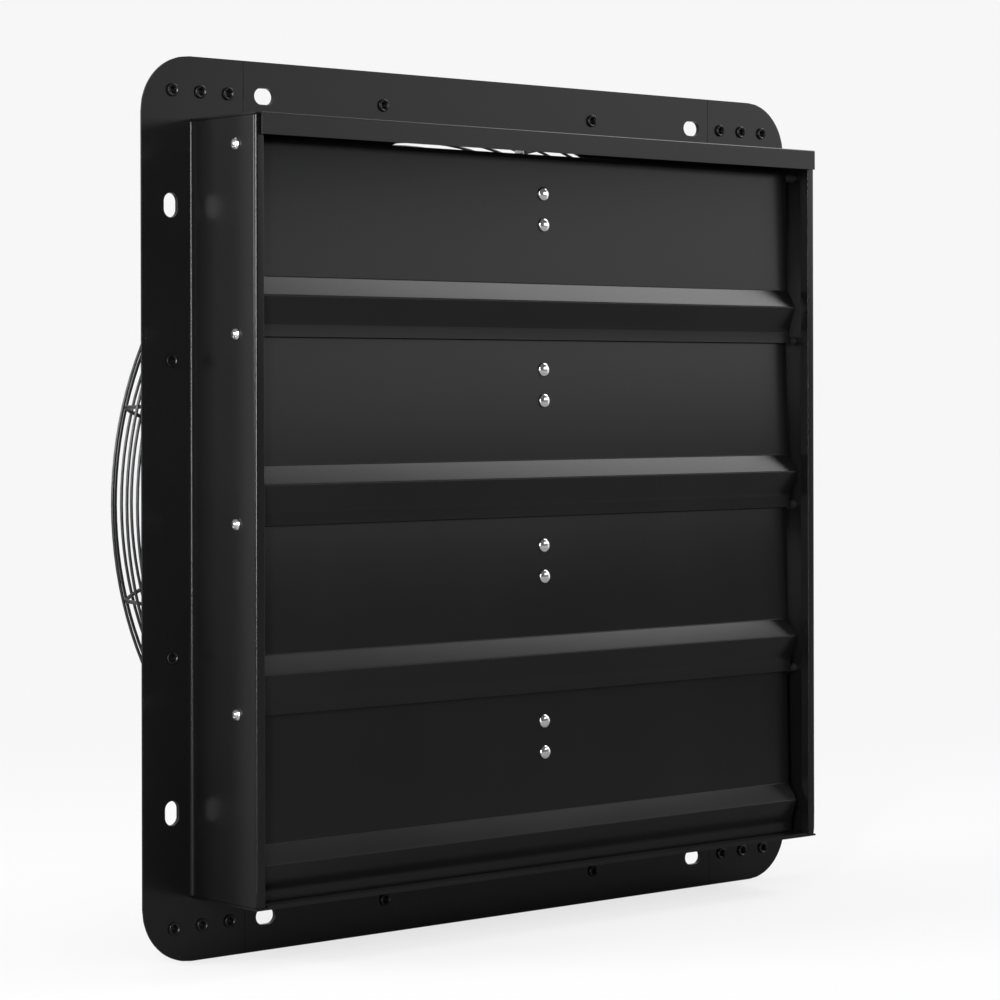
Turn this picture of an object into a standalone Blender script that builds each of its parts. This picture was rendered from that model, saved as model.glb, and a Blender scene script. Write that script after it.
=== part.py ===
"""Shutter exhaust fan, built piece by piece.

A square flange carries a shutter box with four gravity louvers in front and a wire guard with an
outer-rotor axial fan behind. Units are metres and +Z is up. The shutter faces -Y. The origin is
the fan axis on the front face of the flange, the face that lies against the wall.
"""

from math import atan2, cos, pi, radians, sin

import bmesh
import bpy
from mathutils import Matrix, Vector

# Sheet metal and fits
SHEET = 0.0012
FIT_GAP = 0.0003
CUT_OVERRUN = 0.002
MERGE_DISTANCE = 0.000003

# Flange, seen from the front as a square with rounded corners
FLANGE_SIDE = 0.520
FLANGE_CORNER_RADIUS = 0.033
SIDE_RIM = 0.0344
TOP_RIM = 0.036
EAR_WIDTH = 0.071
HALF_FLANGE = FLANGE_SIDE / 2
SEAM_X = HALF_FLANGE - EAR_WIDTH

# Shutter box in front of the flange
BOX_DEPTH = 0.062
BOX_HALF_WIDTH = HALF_FLANGE - SIDE_RIM
BOX_HALF_HEIGHT = HALF_FLANGE - TOP_RIM
SIDE_LIP = 0.0062
SIDE_RETURN = 0.0065
CAP_REACH = 0.0033
CAP_DROP = 0.0125
CAP_END_STEP = 0.0028
WEB_HALF_HEIGHT = BOX_HALF_HEIGHT - SHEET - FIT_GAP
SILL_STOP_GAP = 0.001
SILL_UPSTAND = 0.008

# Fasteners of the flange
SCREW_EDGE = 0.020
SCREW_LINE = HALF_FLANGE - SCREW_EDGE
CORNER_SCREW_COUNT = 3
CORNER_SCREW_PITCH = 0.0195
CORNER_SCREW_EDGE = 0.021
FIRST_CORNER_SCREW = HALF_FLANGE - CORNER_SCREW_EDGE
EDGE_SCREW_SPREAD = 0.085
SCREW_HEAD_RADIUS = 0.0038
SCREW_HEAD_HEIGHT = 0.0012
SCREW_SHANK_RADIUS = 0.0020
SCREW_SOCKET_RADIUS = 0.0024
SCREW_SOCKET_DEPTH = 0.0008
SCREW_CROWN_RADIUS_SHARE = 0.80
SCREW_CROWN_DROP_SHARE = 0.12
SCREW_EDGE_DROP_SHARE = 0.60
SCREW_HOLE_RADIUS = SCREW_SHANK_RADIUS + FIT_GAP
SCREW_SIDES = 8
SLOT_LENGTH = 0.014
SLOT_WIDTH = 0.0095
SLOT_FROM_SEAM = 0.015
SLOT_X = SEAM_X - SLOT_FROM_SEAM
SLOT_ARC_STEPS = 5

# Backing strips that the flange screws thread into
STRIP_THICKNESS = 0.003
STRIP_WIDTH = 0.012
STRIP_END = 0.007
CLAMP_REACH = 0.0045
CLAMP_END = 0.010

# Fan panel behind the flange
PANEL_INSET = 0.004
ORIFICE_OVER_BOX = 0.0044
ORIFICE_RADIUS = BOX_HALF_WIDTH + ORIFICE_OVER_BOX
ORIFICE_STEPS = 60
PANEL_FRONT = SHEET + FIT_GAP
PANEL_BACK = PANEL_FRONT + SHEET

# Louvers: the profile runs down from the pivot, in shares of the pitch
LOUVER_COUNT = 4
LOUVER_END_SPACE = 0.0184
LOUVER_PITCH = (2 * BOX_HALF_HEIGHT - LOUVER_END_SPACE) / LOUVER_COUNT
FIRST_PIVOT_BELOW_TOP = 0.017
PIVOT_BEHIND_FRONT = 0.0184
PIVOT_Y = PIVOT_BEHIND_FRONT - BOX_DEPTH
LOUVER_SIDE_GAP = 0.0037
LOUVER_HALF_WIDTH = BOX_HALF_WIDTH - SIDE_LIP - SHEET - LOUVER_SIDE_GAP
LOUVER_SHEET = 0.0006
LOUVER_HEM_RADIUS = 0.0032
LOUVER_HEM_STEPS = 9
LOUVER_HEM_TURN = radians(285)
LOUVER_LEAN = 0.0017
LOUVER_BAND_REACH = 0.0070
LOUVER_UNDERCUT = 0.0056
LOUVER_LIP_KICK = 0.0003
BAND_TOP_SHARE = 0.693
BAND_NOSE_SHARE = 0.796
UNDERCUT_SHARE = 0.931
LIP_SHARE = 1.011
SILL_CLEARANCE = 0.0010
BAND_TOP_Y = -LOUVER_HEM_RADIUS - LOUVER_LEAN
BAND_NOSE_Y = BAND_TOP_Y - LOUVER_BAND_REACH
UNDERCUT_Y = BAND_NOSE_Y + LOUVER_UNDERCUT
LIP_Y = UNDERCUT_Y - LOUVER_LIP_KICK

# Domed heads of pins and rivets: a flat crown at a share of the radius and of the height
CROWN_RADIUS_SHARE = 0.62
CROWN_RISE_SHARE = 0.80

# Pivot pins of the louvers
PIVOT_PIN_RADIUS = 0.0022
PIVOT_PIN_ENGAGEMENT = 0.012
PIVOT_SHOULDER_RADIUS = 0.0027
PIVOT_HEAD_RADIUS = 0.0036
PIVOT_HEAD_HEIGHT = 0.0019
PIVOT_SIDES = 10

# Rivets that hold a link bracket on the middle of each louver
RIVET_BELOW_PIVOT = 0.0193
RIVET_PITCH = 0.019
RIVET_RIGHT_OF_MIDDLE = 0.002
RIVET_HEAD_RADIUS = 0.00415
RIVET_HEAD_HEIGHT = 0.0018
RIVET_SHANK_RADIUS = 0.0016
RIVET_TAIL_RADIUS = 0.0028
RIVET_TAIL_HEIGHT = 0.0012
RIVET_SIDES = 10

# Linkage behind the louvers
BRACKET_SHEET = 0.0012
BRACKET_HALF_WIDTH = 0.007
BRACKET_MARGIN = 0.0075
LINK_ARM = 0.026
LINK_ARM_RISE = radians(8)
LINK_EYE_RADIUS = 0.0045
LINK_EYE_STEPS = 6
LINK_PIN_RADIUS = 0.0015
LINK_PIN_HEAD_RADIUS = 0.0028
LINK_PIN_HEAD = 0.0011
LINK_PIN_SIDES = 8
LINK_RUNNING_GAP = 0.0004
TIE_BAR_THICKNESS = 0.002
TIE_BAR_WIDTH = 0.009
TIE_BAR_END = 0.007

# Wire guard: rings from the panel round the shoulder to the motor plate
WIRE_RADIUS = 0.00175
GUARD_BASE_OUTSIDE_ORIFICE = 0.002
GUARD_BASE_RADIUS = ORIFICE_RADIUS + GUARD_BASE_OUTSIDE_ORIFICE
GUARD_TAPER = 0.008
GUARD_SHOULDER_Y = 0.084
GUARD_DOME_RISE = 0.020
GUARD_SIDE_RING_COUNT = 6
GUARD_DOME_RING_COUNT = 15
GUARD_RADIAL_COUNT = 12
GUARD_ARC_STEPS = 4
GUARD_DOME_POWER = 8

# Motor plate and outer-rotor motor
MOTOR_PLATE_RADIUS = 0.080
MOTOR_PLATE_THICKNESS = 0.0025
GUARD_EYE_OVERLAP = 0.005
MOTOR_BASE_RADIUS = 0.044
MOTOR_BASE_THICKNESS = 0.008
BEARING_TUBE_RADIUS = 0.0145
BEARING_TUBE_LENGTH = 0.052
BEARING_RADIUS = 0.011
BEARING_WIDTH = 0.007
BEARING_SHOULDER = 0.0015
SHAFT_RADIUS = 0.004
STATOR_RADIUS = 0.044
STATOR_STACK = 0.026
WINDING_RADIUS = 0.039
WINDING_HEIGHT = 0.007
ROTOR_AIR_GAP = 0.0006
ROTOR_WALL = 0.0095
ROTOR_LENGTH = 0.050
ROTOR_FRONT = 0.003
MOTOR_SIDES = 28
SHAFT_SIDES = 12

# Impeller
HUB_WALL = 0.0025
HUB_LENGTH = 0.062
HUB_FRONT_HOLE_RADIUS = 0.022
HUB_NOSE_LENGTH = 0.017
FAN_BLADE_COUNT = 5
FAN_BLADE_THICKNESS = 0.0018
FAN_TIP_CLEARANCE = 0.020
FAN_ROOT_CHORD = 0.092
FAN_TIP_CHORD = 0.150
FAN_ROOT_PITCH = radians(38)
FAN_TIP_PITCH = radians(23)
FAN_SWEEP = radians(16)
FAN_CAMBER = 0.008
FAN_TIP_ROUNDING = 0.016
FAN_SPAN_STEPS = 5
FAN_CHORD_STEPS = 5
FAN_BEHIND_FLANGE = 0.050

# Terminal box and cable gland on the back of the motor plate
BOX_WIDTH = 0.064
BOX_CORNER_RADIUS = 0.006
BOX_LENGTH = 0.034
BOX_LID_STEP = 0.0015
BOX_LID_HEIGHT = 0.006
GLAND_RADIUS = 0.0095
GLAND_NUT_RADIUS = 0.012
GLAND_NUT_LENGTH = 0.008
GLAND_LENGTH = 0.022
GLAND_BORE_RADIUS = 0.0045
GLAND_WALL = 0.003
GLAND_SIDES = 18

# Places worked out from the sizes above
ROTOR_INNER_RADIUS = STATOR_RADIUS + ROTOR_AIR_GAP
ROTOR_RADIUS = ROTOR_INNER_RADIUS + ROTOR_WALL
HUB_RADIUS = ROTOR_RADIUS + FIT_GAP + HUB_WALL
GUARD_BASE_Y = PANEL_BACK + FIT_GAP + WIRE_RADIUS
GUARD_SHOULDER_RADIUS = GUARD_BASE_RADIUS - GUARD_TAPER
GUARD_EYE_RADIUS = MOTOR_PLATE_RADIUS - GUARD_EYE_OVERLAP
GUARD_EYE_Y = GUARD_SHOULDER_Y + GUARD_DOME_RISE
PLATE_BACK = GUARD_EYE_Y - WIRE_RADIUS - FIT_GAP
PLATE_FRONT = PLATE_BACK - MOTOR_PLATE_THICKNESS
BASE_BACK = PLATE_FRONT - FIT_GAP
BASE_FRONT = BASE_BACK - MOTOR_BASE_THICKNESS
TUBE_FRONT = BASE_FRONT - BEARING_TUBE_LENGTH
STATOR_MIDDLE = (TUBE_FRONT + BASE_FRONT) / 2
ROTOR_BACK = STATOR_MIDDLE + ROTOR_LENGTH / 2
ROTOR_CAN_FRONT = TUBE_FRONT - FIT_GAP - BEARING_SHOULDER - ROTOR_FRONT
SHAFT_FRONT = ROTOR_CAN_FRONT - CUT_OVERRUN
SHAFT_BACK = BASE_BACK - SHEET
FAN_RADIUS = GUARD_SHOULDER_RADIUS - FAN_TIP_CLEARANCE
LINK_Y = LINK_ARM * cos(LINK_ARM_RISE)
LINK_Z = LINK_ARM * sin(LINK_ARM_RISE)

# Finishes: colour, roughness and metallic value
POWDER_COAT = ("black_powder_coat", (0.022, 0.022, 0.024, 1.0), 0.42, 0.0)
BRIGHT_METAL = ("bright_rivet", (0.78, 0.78, 0.79, 1.0), 0.22, 1.0)
BLACK_SCREW = ("black_oxide_screw", (0.012, 0.012, 0.013, 1.0), 0.35, 0.6)
ZINC_STEEL = ("zinc_steel", (0.55, 0.56, 0.57, 1.0), 0.38, 1.0)
CAST_ALUMINIUM = ("cast_aluminium", (0.50, 0.51, 0.52, 1.0), 0.5, 1.0)
STATOR_STEEL = ("stator_steel", (0.30, 0.20, 0.14, 1.0), 0.55, 0.5)
BLACK_PLASTIC = ("black_plastic", (0.025, 0.025, 0.027, 1.0), 0.5, 0.0)


def clear_scene():
    """Remove every object that the start-up scene holds."""
    for item in list(bpy.data.objects):
        bpy.data.objects.remove(item, do_unlink=True)


def finish_material(finish):
    """Return the material of a finish, made on its first use."""
    name, colour, roughness, metallic = finish
    material = bpy.data.materials.get(name)
    if material is None:
        material = bpy.data.materials.new(name)
        material.use_nodes = True
        shader = material.node_tree.nodes["Principled BSDF"]
        shader.inputs["Base Color"].default_value = colour
        shader.inputs["Roughness"].default_value = roughness
        shader.inputs["Metallic"].default_value = metallic
        material.diffuse_color = colour
    return material


def add_piece(name, mesh, finish, parent=None, smooth=False):
    """Turn a bmesh into a named object with its finish."""
    bmesh.ops.recalc_face_normals(mesh, faces=mesh.faces[:])
    data = bpy.data.meshes.new(name)
    mesh.to_mesh(data)
    mesh.free()
    data.materials.append(finish_material(finish))
    if smooth:
        data.shade_smooth()
        data.set_sharp_from_angle(angle=radians(35))
    piece = bpy.data.objects.new(name, data)
    bpy.context.scene.collection.objects.link(piece)
    piece.parent = parent
    return piece


def add_axis(name, place, parent=None):
    """Add the empty that stands on a joint's axis."""
    axis = bpy.data.objects.new(name, None)
    axis.location = place
    axis.parent = parent
    bpy.context.scene.collection.objects.link(axis)
    return axis


def hide_guide(guide):
    """Mark an object as a guide that is no piece of the fan."""
    guide.hide_render = True
    guide.display_type = "WIRE"


def apply_boolean(piece, guide, operation):
    """Cut a guide out of a piece, or join it on."""
    hide_guide(guide)
    change = piece.modifiers.new(operation.title(), "BOOLEAN")
    change.operation = operation
    change.object = guide


def circle(centre, radius, sides, start=0.0):
    """Points of a closed circle, anticlockwise."""
    turns = (start + 2 * pi * step / sides for step in range(sides))
    return [(centre[0] + radius * cos(turn), centre[1] + radius * sin(turn)) for turn in turns]


def arc(centre, radius, start, end, steps):
    """Points of an arc from start to end, both included."""
    turns = (start + (end - start) * step / steps for step in range(steps + 1))
    return [(centre[0] + radius * cos(turn), centre[1] + radius * sin(turn)) for turn in turns]


def rounded_rectangle(half_width, half_height, radius, steps):
    """Closed outline of a rectangle with round corners."""
    points = []
    corners = ((1, 1, 0.0), (-1, 1, pi / 2), (-1, -1, pi), (1, -1, 3 * pi / 2))
    for side, rise, start in corners:
        centre = (side * (half_width - radius), rise * (half_height - radius))
        points += arc(centre, radius, start, start + pi / 2, steps)
    return points


def slot_outline(centre, along):
    """Closed outline of a mounting slot with round ends, along X (0) or along Z (1)."""
    reach = (SLOT_LENGTH - SLOT_WIDTH) / 2
    points = []
    for side in (1, -1):
        start = -pi / 2 if side == 1 else pi / 2
        points += arc((side * reach, 0), SLOT_WIDTH / 2, start, start + pi, SLOT_ARC_STEPS)
    if along:
        points = [(-across, length) for length, across in points]
    return [(centre[0] + a, centre[1] + b) for a, b in points]


def frame_point(plane, a, b, height):
    """Place a drawing point of a plane at a height along its normal."""
    if plane == "XZ":
        return Vector((a, height, b))
    if plane == "YZ":
        return Vector((height, a, b))
    return Vector((a, b, height))


def prism_mesh(outline, plane, near, far, holes=()):
    """Straight solid between near and far, with through holes."""
    mesh = bmesh.new()
    for loop in (outline, *holes):
        corners = [mesh.verts.new(frame_point(plane, a, b, near)) for a, b in loop]
        for index, corner in enumerate(corners):
            mesh.edges.new((corner, corners[(index + 1) % len(corners)]))
    bmesh.ops.triangle_fill(mesh, use_beauty=True, edges=mesh.edges[:])
    if not holes:
        bmesh.ops.dissolve_faces(mesh, faces=mesh.faces[:])
    grown = bmesh.ops.extrude_face_region(mesh, geom=mesh.faces[:], use_keep_orig=True)
    moved = [item for item in grown["geom"] if isinstance(item, bmesh.types.BMVert)]
    bmesh.ops.translate(mesh, verts=moved, vec=frame_point(plane, 0, 0, far - near))
    return mesh


def turned_mesh(profile, sides, axis="Y", ring=False):
    """Turned solid from (radius, height) points; a ring's profile closes on itself."""
    mesh = bmesh.new()
    place = {"X": lambda r, h: (h, 0, r), "Y": lambda r, h: (r, h, 0), "Z": lambda r, h: (r, 0, h)}[axis]
    corners = [mesh.verts.new(place(radius, height)) for radius, height in profile]
    for first, second in zip(corners, corners[1:]):
        mesh.edges.new((first, second))
    if ring:
        mesh.edges.new((corners[-1], corners[0]))
    turn = {"X": (1, 0, 0), "Y": (0, 1, 0), "Z": (0, 0, 1)}[axis]
    bmesh.ops.spin(
        mesh, geom=mesh.verts[:] + mesh.edges[:], cent=(0, 0, 0), axis=turn,
        angle=2 * pi, steps=sides, use_merge=True,
    )
    bmesh.ops.remove_doubles(mesh, verts=mesh.verts[:], dist=MERGE_DISTANCE)
    return mesh


def merge_meshes(meshes):
    """Put several meshes into one, as separate bodies."""
    joined = bmesh.new()
    for mesh in meshes:
        data = bpy.data.meshes.new("part_of_guide")
        mesh.to_mesh(data)
        mesh.free()
        joined.from_mesh(data)
        bpy.data.meshes.remove(data)
    return joined


def thicken(path, thickness):
    """Closed outline of a bent sheet: the path, and the same path set over to its left."""
    other = []
    for index, point in enumerate(path):
        before = Vector(path[max(index - 1, 0)])
        after = Vector(path[min(index + 1, len(path) - 1)])
        here = Vector(point)
        first = (here - before).normalized() if index else (after - here).normalized()
        second = (after - here).normalized() if index < len(path) - 1 else first
        bisector = (first + second).normalized()
        side = Vector((-bisector.y, bisector.x))
        reach = thickness / max(bisector.dot(first), FIT_GAP)
        other.append(tuple(here + side * reach))
    return list(path) + other[::-1]


def corner_screw_places():
    """X distances of the three screws in each corner ear."""
    return [FIRST_CORNER_SCREW - CORNER_SCREW_PITCH * step for step in range(CORNER_SCREW_COUNT)]


def ear_outline():
    """Flange half of the right side channel, seen from the front."""
    web = BOX_HALF_WIDTH - SHEET
    relief = BOX_HALF_WIDTH + FIT_GAP
    ledge = BOX_HALF_HEIGHT + FIT_GAP
    seam = SEAM_X + FIT_GAP / 2
    centre = HALF_FLANGE - FLANGE_CORNER_RADIUS
    upper = [(web, WEB_HALF_HEIGHT), (relief, WEB_HALF_HEIGHT), (relief, ledge), (seam, ledge), (seam, HALF_FLANGE)]
    corner = arc((centre, centre), FLANGE_CORNER_RADIUS, pi / 2, 0, 7)
    half = upper + corner
    return half + [(x, -z) for x, z in reversed(half)]


def side_holes(side):
    """Screw holes and slots in the flange half of one side channel."""
    holes = []
    for rise in (1, -1):
        for x in corner_screw_places():
            holes.append(circle((side * x, rise * SCREW_LINE), SCREW_HOLE_RADIUS, SCREW_SIDES))
        holes.append(circle((side * SCREW_LINE, rise * EDGE_SCREW_SPREAD), SCREW_HOLE_RADIUS, SCREW_SIDES))
        holes.append(slot_outline((side * SCREW_LINE, rise * SLOT_X), 1))
    return holes


def strip_holes(rise):
    """Screw holes and slots in the flange strip of the top or the bottom channel."""
    holes = []
    for side in (1, -1):
        holes.append(circle((side * EDGE_SCREW_SPREAD, rise * SCREW_LINE), SCREW_HOLE_RADIUS, SCREW_SIDES))
        holes.append(slot_outline((side * SLOT_X, rise * SCREW_LINE), 0))
    return holes


def louver_pivot_heights():
    """Heights of the four louver pivots, from the top."""
    first = BOX_HALF_HEIGHT - FIRST_PIVOT_BELOW_TOP
    return [first - LOUVER_PITCH * step for step in range(LOUVER_COUNT)]


def build_side_channel(name, side):
    """Bent side of the box: flange with both ears, web, front lip and return hem."""
    outline = [(side * x, z) for x, z in ear_outline()]
    channel = add_piece(name, prism_mesh(outline, "XZ", 0, SHEET, side_holes(side)), POWDER_COAT)
    lip_end = BOX_HALF_WIDTH - SIDE_LIP
    path = [
        (BOX_HALF_WIDTH, SHEET / 2), (BOX_HALF_WIDTH, -BOX_DEPTH),
        (lip_end, -BOX_DEPTH), (lip_end, SIDE_RETURN - BOX_DEPTH),
    ]
    section = [(side * x, y) for x, y in thicken(path, -SHEET)]
    web = add_piece(name + "_web", prism_mesh(section, "XY", -WEB_HALF_HEIGHT, WEB_HALF_HEIGHT), POWDER_COAT)
    apply_boolean(channel, web, "UNION")
    bores = []
    for height in louver_pivot_heights():
        radius = PIVOT_SHOULDER_RADIUS + FIT_GAP
        inner = side * (BOX_HALF_WIDTH - SHEET - CUT_OVERRUN)
        outer = side * (BOX_HALF_WIDTH + CUT_OVERRUN)
        bores.append(prism_mesh(circle((PIVOT_Y, height), radius, PIVOT_SIDES), "YZ", inner, outer))
    apply_boolean(channel, add_piece(name + "_bores", merge_meshes(bores), POWDER_COAT), "DIFFERENCE")
    return channel


def build_top_channel():
    """Flange strip, top web and the drip cap in front of the first louver."""
    seam = SEAM_X - FIT_GAP / 2
    low = BOX_HALF_HEIGHT - SHEET
    strip_outline = [(-seam, low), (seam, low), (seam, HALF_FLANGE), (-seam, HALF_FLANGE)]
    channel = add_piece("top_channel", prism_mesh(strip_outline, "XZ", 0, SHEET, strip_holes(1)), POWDER_COAT)
    cap_half = BOX_HALF_WIDTH - CAP_END_STEP
    cap_front = -(BOX_DEPTH + CAP_REACH)
    web_outline = [
        (BOX_HALF_WIDTH, SHEET), (-BOX_HALF_WIDTH, SHEET), (-BOX_HALF_WIDTH, -BOX_DEPTH),
        (-cap_half, -BOX_DEPTH), (-cap_half, cap_front), (cap_half, cap_front),
        (cap_half, -BOX_DEPTH), (BOX_HALF_WIDTH, -BOX_DEPTH),
    ]
    web = add_piece("top_web", prism_mesh(web_outline, "XY", low, BOX_HALF_HEIGHT), POWDER_COAT)
    cap_outline = [
        (-cap_half, BOX_HALF_HEIGHT), (cap_half, BOX_HALF_HEIGHT),
        (cap_half, BOX_HALF_HEIGHT - CAP_DROP), (-cap_half, BOX_HALF_HEIGHT - CAP_DROP),
    ]
    cap = add_piece("drip_cap", prism_mesh(cap_outline, "XZ", cap_front, cap_front + SHEET), POWDER_COAT)
    apply_boolean(channel, web, "UNION")
    apply_boolean(channel, cap, "UNION")
    return channel


def build_bottom_channel():
    """Flange strip, bottom web, its hemmed front edge and the stop behind the last louver."""
    seam = SEAM_X - FIT_GAP / 2
    low = -HALF_FLANGE
    high = SHEET - BOX_HALF_HEIGHT
    strip_outline = [(-seam, low), (seam, low), (seam, high), (-seam, high)]
    channel = add_piece("bottom_channel", prism_mesh(strip_outline, "XZ", 0, SHEET, strip_holes(-1)), POWDER_COAT)
    web_outline = [
        (BOX_HALF_WIDTH, SHEET), (-BOX_HALF_WIDTH, SHEET),
        (-BOX_HALF_WIDTH, -BOX_DEPTH), (BOX_HALF_WIDTH, -BOX_DEPTH),
    ]
    web = add_piece("bottom_web", prism_mesh(web_outline, "XY", -BOX_HALF_HEIGHT, high), POWDER_COAT)
    hem_half = BOX_HALF_WIDTH - SIDE_LIP - SHEET - FIT_GAP
    hem_back = PIVOT_Y + UNDERCUT_Y + LOUVER_SHEET + SILL_STOP_GAP + SHEET
    hem_section = [
        (-BOX_DEPTH, -BOX_HALF_HEIGHT), (hem_back, -BOX_HALF_HEIGHT), (hem_back, high + SILL_UPSTAND),
        (hem_back - SHEET, high + SILL_UPSTAND), (hem_back - SHEET, high + SHEET), (-BOX_DEPTH, high + SHEET),
    ]
    hem = add_piece("sill_hem", prism_mesh(hem_section, "YZ", -hem_half, hem_half), POWDER_COAT)
    apply_boolean(channel, web, "UNION")
    apply_boolean(channel, hem, "UNION")
    return channel


def build_fan_panel():
    """Plate behind the flange with the round fan orifice."""
    half = HALF_FLANGE - PANEL_INSET
    outline = rounded_rectangle(half, half, FLANGE_CORNER_RADIUS, 5)
    holes = [circle((0, 0), ORIFICE_RADIUS, ORIFICE_STEPS)]
    for turn in (1, -1):
        holes += side_holes(turn)
        holes += strip_holes(turn)
    return add_piece("fan_panel", prism_mesh(outline, "XZ", PANEL_FRONT, PANEL_BACK, holes), POWDER_COAT)


def flange_screw(x, z, back):
    """Button-head socket screw from the flange's front face into its backing strip."""
    head = -FIT_GAP
    top = head - SCREW_HEAD_HEIGHT
    profile = [
        (0, top + SCREW_SOCKET_DEPTH), (SCREW_SOCKET_RADIUS, top + SCREW_SOCKET_DEPTH),
        (SCREW_SOCKET_RADIUS, top),
        (SCREW_HEAD_RADIUS * SCREW_CROWN_RADIUS_SHARE, top + SCREW_HEAD_HEIGHT * SCREW_CROWN_DROP_SHARE),
        (SCREW_HEAD_RADIUS, top + SCREW_HEAD_HEIGHT * SCREW_EDGE_DROP_SHARE), (SCREW_HEAD_RADIUS, head),
        (SCREW_SHANK_RADIUS, head), (SCREW_SHANK_RADIUS, back), (0, back),
    ]
    mesh = turned_mesh(profile, SCREW_SIDES)
    bmesh.ops.translate(mesh, verts=mesh.verts[:], vec=(x, 0, z))
    return mesh


def build_screw_group(name, strip, places):
    """Join a backing strip and the screws that thread into it."""
    group = add_piece(name, strip, BLACK_SCREW)
    back = PANEL_BACK + FIT_GAP + STRIP_THICKNESS / 2
    screws = merge_meshes([flange_screw(x, z, back) for x, z in places])
    apply_boolean(group, add_piece(name + "_screws", screws, BLACK_SCREW), "UNION")
    return group


def build_corner_screws():
    """Three screws and their strip in each corner ear."""
    front = PANEL_BACK + FIT_GAP
    places = corner_screw_places()
    number = 0
    for rise in (1, -1):
        for side in (-1, 1):
            number += 1
            inner = min(places) - STRIP_END
            outer = max(places) + STRIP_END
            low = SCREW_LINE - STRIP_WIDTH / 2
            high = SCREW_LINE + STRIP_WIDTH / 2
            outline = [(side * inner, rise * low), (side * outer, rise * low),
                       (side * outer, rise * high), (side * inner, rise * high)]
            strip = prism_mesh(outline, "XZ", front, front + STRIP_THICKNESS)
            build_screw_group(f"corner_screws_{number}", strip, [(side * x, rise * SCREW_LINE) for x in places])


def build_edge_screws():
    """Two screws on each side with the clamp strip that holds the guard's base ring."""
    front = PANEL_BACK + FIT_GAP
    seat = GUARD_BASE_Y + WIRE_RADIUS + FIT_GAP
    inner = GUARD_BASE_RADIUS - CLAMP_REACH
    ring_clear = GUARD_BASE_RADIUS + WIRE_RADIUS + FIT_GAP
    outer = SCREW_LINE + STRIP_WIDTH / 2
    section = [
        (front, outer), (front, ring_clear), (seat, ring_clear), (seat, inner),
        (seat + SHEET, inner), (seat + SHEET, outer),
    ]
    half = EDGE_SCREW_SPREAD + CLAMP_END
    for name, turn in (("top", 0), ("right", 1), ("bottom", 2), ("left", 3)):
        strip = prism_mesh(section, "YZ", -half, half)
        screws = merge_meshes([flange_screw(s * EDGE_SCREW_SPREAD, SCREW_LINE, seat + SHEET / 2) for s in (1, -1)])
        spin = Matrix.Rotation(turn * pi / 2, 4, "Y")
        bmesh.ops.transform(strip, matrix=spin, verts=strip.verts[:])
        bmesh.ops.transform(screws, matrix=spin, verts=screws.verts[:])
        group = add_piece(f"edge_screws_{name}", strip, BLACK_SCREW)
        apply_boolean(group, add_piece(f"edge_screws_{name}_heads", screws, BLACK_SCREW), "UNION")


def louver_path(lip_depth):
    """Front face of a louver from its lower lip up and round the hem, about its pivot."""
    path = [
        (LIP_Y, -lip_depth),
        (UNDERCUT_Y, -UNDERCUT_SHARE * LOUVER_PITCH),
        (BAND_NOSE_Y, -BAND_NOSE_SHARE * LOUVER_PITCH),
        (BAND_TOP_Y, -BAND_TOP_SHARE * LOUVER_PITCH),
    ]
    return path + arc((0, 0), LOUVER_HEM_RADIUS, pi, pi - LOUVER_HEM_TURN, LOUVER_HEM_STEPS)


def louver_face_y(depth):
    """Y of a louver's front face at a depth below its pivot, above the band."""
    return -LOUVER_HEM_RADIUS - LOUVER_LEAN * depth / (BAND_TOP_SHARE * LOUVER_PITCH)


def louver_tilt():
    """Lean of a louver's upper face from the vertical."""
    return atan2(LOUVER_LEAN, BAND_TOP_SHARE * LOUVER_PITCH)


def rivet_depths():
    """Depths of the two bracket rivets below the pivot."""
    return (RIVET_BELOW_PIVOT, RIVET_BELOW_PIVOT + RIVET_PITCH)


def place_on_louver(mesh, depth):
    """Turn a mesh drawn along Y to the louver's lean and move it to a depth."""
    place = Matrix.Translation((RIVET_RIGHT_OF_MIDDLE, louver_face_y(depth), -depth))
    turn = place @ Matrix.Rotation(-louver_tilt(), 4, "X")
    bmesh.ops.transform(mesh, matrix=turn, verts=mesh.verts[:])
    return mesh


def rivet_bores():
    """Cutters for the two rivet holes."""
    radius = RIVET_SHANK_RADIUS + FIT_GAP
    reach = LOUVER_SHEET + BRACKET_SHEET + CUT_OVERRUN
    bores = []
    for depth in rivet_depths():
        bore = prism_mesh(circle((0, 0), radius, RIVET_SIDES), "XZ", -CUT_OVERRUN, reach)
        bores.append(place_on_louver(bore, depth))
    return merge_meshes(bores)


def build_louver(number, axis):
    """One bent blade with its rolled hem."""
    lip_depth = LIP_SHARE * LOUVER_PITCH
    if number == LOUVER_COUNT:
        sill = SHEET * 2 - BOX_HALF_HEIGHT + SILL_CLEARANCE
        lip_depth = axis.location.z - sill
    outline = thicken(louver_path(lip_depth), -LOUVER_SHEET)
    blade = prism_mesh(outline, "YZ", -LOUVER_HALF_WIDTH, LOUVER_HALF_WIDTH)
    louver = add_piece(f"louver_{number}", blade, POWDER_COAT, axis)
    bores = add_piece(f"louver_{number}_bores", rivet_bores(), POWDER_COAT, axis)
    apply_boolean(louver, bores, "DIFFERENCE")
    return louver


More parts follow.
